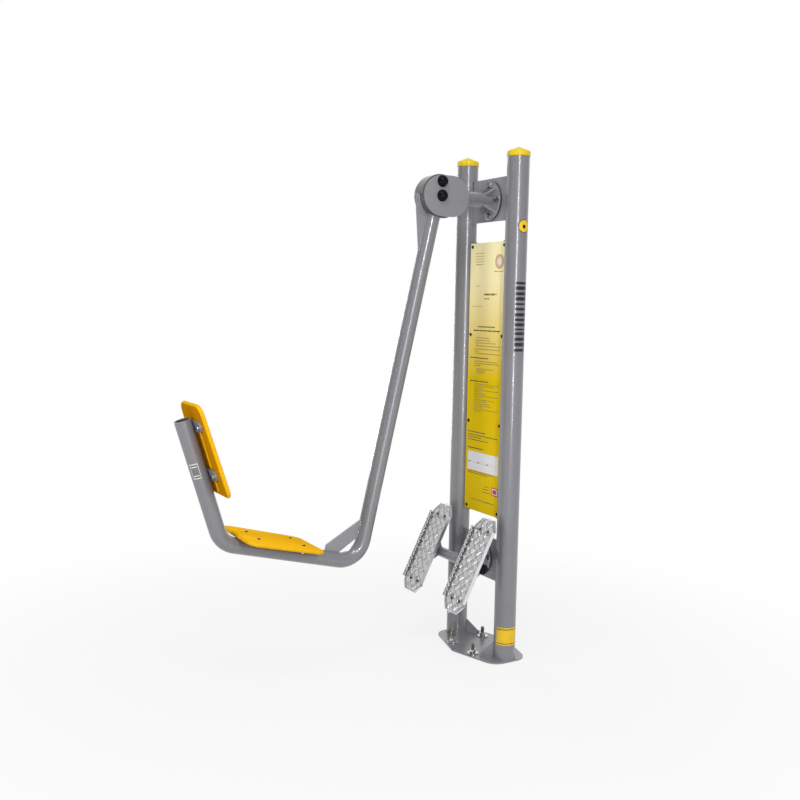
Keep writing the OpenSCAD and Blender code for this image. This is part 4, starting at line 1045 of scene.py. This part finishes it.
class LEGPRESS_OT_panel_print(Builder, Operator):
    """Print the information panel with plain, unreadable rows and fields"""
    bl_idname = "leg_press.panel_print"
    bl_label = "Print the panel"

    def make(self, scene):
        words = random.Random(42)
        inks = ("dark", "fine", "white", "red")
        shape, seal = Shape(), Shape()

        def field(left, down, length, height, ink, proud=0.15):
            centre = (BOARD_FRONT - proud / 2 + 0.02, BOARD_W / 2 - left - length / 2,
                      BOARD_LOW + BOARD_H - down)
            shape.add(box((proud + 0.04, length, height), centre), finish=inks.index(ink))

        left, down, pitch, lengths = PANEL_PARAGRAPH
        paragraph = [(left, down + pitch * i, length, 4) for i, length in enumerate(lengths)]
        for ink, rows in (*PANEL_ROWS, ("fine", paragraph)):
            for left, down, length, height in rows:
                at = left
                while at < left + length - 3:
                    word = min(words.uniform(1.6, 4.2) * max(height, 4), left + length - at)
                    field(at, down, word, height * 0.72, ink)
                    at += word + max(height, 4) * 0.42
        field(16, 917, 217, 80, "white")
        for dash in range(18):
            field(20 + dash * 11.8, 922, 7.0, 1.2, "fine", 0.3)
        for mark in (24, 88, 152):
            field(mark, 922, 10, 5, "dark", 0.4)
        field(191, 1027, 46, 36, "red")
        field(196, 1027, 36, 26, "white", 0.3)
        field(200, 1027, 28, 18, "red", 0.45)
        shape.build("panel_print", "dark_ink fine_ink white_ink red_ink", "board_face")

        left, down, discs = PANEL_SEAL
        face = shift(BOARD_FRONT, BOARD_W / 2 - left, BOARD_LOW + BOARD_H - down) @ turn("Y", -90)
        for ink, (r, low, high) in enumerate(discs):
            seal.add(lathe([(0.0, low), (r, low), (r, high), (0.0, high)], 64), face, ink)
        seal.build("panel_round_field", "fine_ink peach_ink white_ink", "board_face")


class LEGPRESS_OT_panel_fasteners(Builder, Operator):
    """Screw the panel to its lugs"""
    bl_idname = "leg_press.panel_fasteners"
    bl_label = "Screw the panel on"

    def make(self, scene):
        spots = [shift(BOARD_FRONT, side * BOARD_SCREW_Y, height) @ turn("Y", -90)
                 for side, height in product(SIDES, BOARD_SCREW_Z)]
        socket_screws("panel", ("board_screws", "board_nuts"), spots, random.Random(21),
                      BOARD_SCREW_D, BOARD_T + LUG_T, "black black_plastic")


def wrapped(radius, middle, half_angle, low, high, thick=0.25):
    """Thin film wrapped round a tube, in degrees about Z."""
    steps = max(3, int(half_angle / 3))
    corners = ((radius, low), (radius + thick, low), (radius + thick, high), (radius, high))
    return skin([[around(r, math.radians(middle - half_angle + 2 * half_angle * i / steps), z)
                  for r, z in corners] for i in range(steps + 1)])


def wrapped_disc(radius, middle, disc_r, height, thick):
    """Thin round film wrapped round a tube."""
    rings = []
    for share, depth in ((0.0, thick), (0.5, thick), (1.0, thick), (1.0, 0.0), (0.5, 0.0), (0.0, 0.0)):
        rings.append([around(radius + depth, math.radians(middle) + x / radius, height + y)
                      for x, y, _ in circle(share * disc_r, 0, 40 if share else 1)])
    return skin(rings)


# Films of a piece: half angle, low and high end, height off the tube, thickness and finish
FOOT_BAND = ((84, 71.0, 145.0, 0.0, 0.25, 0), (83, 77.0, 80.0, 0.2, 0.2, 1),
             (83, 136.0, 139.0, 0.2, 0.2, 1))
BACK_LABEL = ((29, 34.0, 90.0, 0.0, 0.25, 0), (26, 37.0, 87.0, 0.1, 0.25, 1),
              (20, 44, 47, 0.25, 0.2, 0), (20, 77, 80, 0.25, 0.2, 0))
# Radius, height, height off the post, thickness and finish
ROUND_FILM = ((26.0, 1763.0, 0.0, 0.2, 1), (23.5, 1763.0, 0.1, 0.25, 0), (8.0, 1761.0, 0.2, 0.3, 1))
STRIPE_LOW, STRIPE_LAST, STRIPE_TOP = 1272.0, 1538, 1546.0


class LEGPRESS_OT_post_films(Builder, Operator):
    """Stick plain, unlettered films on the near post and the back tube"""
    bl_idname = "leg_press.post_films"
    bl_label = "Stick the post films"

    def make(self, scene):
        post = shift(0, -POST_Y, 0)
        tube = ON_BACK @ turn("Y", 90)
        r = POST_R + 0.05
        bars, band, disc, label = Shape(), Shape(), Shape(), Shape()
        low, widths = STRIPE_LOW, random.Random(17)
        while low < STRIPE_LAST:
            width = widths.uniform(7, 14)
            bars.add(wrapped(r, -89, 33, low, min(low + width, STRIPE_TOP)), post)
            low += width + widths.uniform(7, 11)
        for shape, films, radius, middle, place in ((band, FOOT_BAND, r, -90, post),
                                                    (label, BACK_LABEL, TUBE_R + 0.05, -55, tube)):
            for half_angle, low, high, off, thick, ink in films:
                shape.add(wrapped(radius + off, middle, half_angle, low, high, thick), place, ink)
        for disc_r, height, off, thick, ink in ROUND_FILM:
            disc.add(wrapped_disc(r + off, -86, disc_r, height, thick), post, ink)
        bars.build("post_stripe_film", "black_film", "black_plastic")
        band.build("post_foot_band", "yellow_film black_film", "cap_yellow")
        disc.build("post_round_film", "yellow_film black_film", "cap_yellow")
        label.build("back_tube_film", "white_ink grey_film", "black_plastic", body="swing_frame")


# The stage, in metres and radians

def floor_finish():
    """Pale floor that runs out into plain white and keeps the shadows near the machine."""
    made = bpy.data.materials.new("pale_floor")
    made.use_nodes = True
    tree = made.node_tree
    shader = tree.nodes["Principled BSDF"]
    feed(tree, shader, {"Base Color": (0.6, 0.6, 0.6, 1), "Roughness": 0.9, "Specular IOR Level": 0.1})
    away = add_node(tree, "VectorMath", {0: add_node(tree, "TexCoord")["Object"],
                                         1: (-0.6, 0.0, 0.0)}, operation="DISTANCE")["Value"]
    path = add_node(tree, "LightPath")
    seen = maths(tree, "MAXIMUM", path["Is Camera Ray"], path["Is Glossy Ray"])
    blend = add_node(tree, "MixShader", {
        "Fac": maths(tree, "MULTIPLY", seen, spread(tree, away, 0.7, 2.6, 0.82, 1.0)),
        1: shader.outputs["BSDF"], 2: add_node(tree, "Emission")["Emission"]})
    feed(tree, tree.nodes["Material Output"], {"Surface": blend["Shader"]})
    return made


def studio_world(sky):
    """White backdrop behind the machine, and a studio that is brighter above and to the right."""
    world = bpy.data.worlds.new("studio")
    world.use_nodes = True
    tree = world.node_tree
    place = add_node(tree, "TexCoord")["Generated"]

    def toward(direction, low, high, least, most):
        inputs = {0: place, 1: Vector(direction).normalized()}
        dot = add_node(tree, "VectorMath", inputs, operation="DOT_PRODUCT")["Value"]
        return spread(tree, dot, low, high, least, most)

    path = add_node(tree, "LightPath")
    glossy = path["Is Glossy Ray"]
    fill = maths(tree, "MULTIPLY", toward((0.6, -0.7, 0.4), -0.7, 1.0, sky * 0.16, sky * 1.75),
                 spread(tree, glossy, 0.0, 1.0, 1.0, 0.45, "LINEAR"))
    mirrored = maths(tree, "MULTIPLY", glossy, toward((0.508, 0.861, 0.0), 0.05, 0.65, 0.0, 1.0))
    direct = maths(tree, "MAXIMUM", path["Is Camera Ray"], path["Is Transmission Ray"])
    level = add_node(tree, "Mix", {"Factor": maths(tree, "MAXIMUM", direct, mirrored), "A": fill,
                                   "B": 1.0})["Result"]
    feed(tree, tree.nodes["Background"], {"Color": (1, 1, 1, 1), "Strength": level})
    return world


CAMERA_PLACE = (-2.31067, -3.20688, 1.4437)
CAMERA_TURN = (0.5333689, 0.0991734, 0.0179980)
CAMERA_LENS = 42.554
FLOOR_Z = -0.0005
# Place, aim and size
LIGHTS = {
    "strip": ((-1.6, -3.5, 1.7), (-0.1, 0, 1.2), (0.13, 2.4)),
    "side": ((-3.8, -0.4, 2.3), (-0.2, 0, 1.1), (0.9, 0.9)),
    "top": ((-1.8, -1.6, 4.2), (-0.6, 0, 1.0), (1.2, 0.8)),
    "rim": ((0.1, 3.4, 1.6), (-0.2, 0, 1.2), (0.3, 2.4)),
}


def stand(scene, name, data):
    """Puts a new object into the scene."""
    made = bpy.data.objects.new(name, data)
    scene.collection.objects.link(made)
    return made


class LEGPRESS_OT_stage(Builder, Operator):
    """Set the camera, the soft light and the pale floor"""
    bl_idname = "leg_press.stage"
    bl_label = "Set the stage"

    def make(self, scene):
        set_to = scene.leg_press_stage
        yaw, pitch, roll = CAMERA_TURN
        camera = stand(scene, "camera", bpy.data.cameras.new("camera"))
        camera.matrix_world = (
            Matrix.Translation(CAMERA_PLACE) @ Matrix.Rotation(-yaw, 4, "Z")
            @ Matrix.Rotation(math.pi / 2 - pitch, 4, "X") @ Matrix.Rotation(roll, 4, "Z"))
        camera.data.sensor_width = 36
        camera.data.lens = CAMERA_LENS
        camera.data.clip_end = 200
        scene.camera = camera

        floor = bpy.data.meshes.new("floor")
        half = set_to.floor_size / 2
        floor.from_pydata([(x * half, y * half, FLOOR_Z) for x, y in product(SIDES, SIDES)],
                          [], [(0, 2, 3, 1)])
        floor.materials.append(floor_finish())
        ground = stand(scene, "floor", floor)
        scene.world = studio_world(set_to.sky)

        for name, (place, aim, size) in LIGHTS.items():
            lamp = bpy.data.lights.new(f"{name}_light", "AREA")
            lamp.shape = "RECTANGLE"
            lamp.size, lamp.size_y = size
            lamp.energy = getattr(set_to, name)
            light = stand(scene, f"{name}_light", lamp)
            light.location = place
            light.visible_glossy = name != "side"
            light.rotation_euler = (Vector(place) - Vector(aim)).to_track_quat("Z", "Y").to_euler()
        scene.view_settings.view_transform = "Standard"


OPERATORS = Builder.__subclasses__()


class LEGPRESS_PT_panel(bpy.types.Panel):
    """Lists the steps that dress the leg press"""
    bl_idname = "LEGPRESS_PT_panel"
    bl_label = "Leg Press"
    bl_space_type = "VIEW_3D"
    bl_region_type = "UI"
    bl_category = "Leg Press"

    def draw(self, context):
        for group in (getattr(context.scene, name) for name in GROUPS):
            for name in group.__annotations__:
                self.layout.prop(group, name)
        for operator in OPERATORS:
            self.layout.operator(operator.bl_idname)


GROUPS = {"leg_press_finishes": LegPressFinishes, "leg_press_detail": LegPressDetail,
          "leg_press_stage": LegPressStage}


def register():
    for name, group in GROUPS.items():
        bpy.utils.register_class(group)
        setattr(bpy.types.Scene, name, PointerProperty(type=group))
    for kind in (*OPERATORS, LEGPRESS_PT_panel):
        bpy.utils.register_class(kind)


def unregister():
    for kind in reversed((*OPERATORS, LEGPRESS_PT_panel)):
        bpy.utils.unregister_class(kind)
    for name, group in GROUPS.items():
        delattr(bpy.types.Scene, name)
        bpy.utils.unregister_class(group)


def main():
    register()
    for operator in OPERATORS:
        getattr(bpy.ops.leg_press, operator.bl_idname.split(".")[1])()


if __name__ == "__main__":
    main()
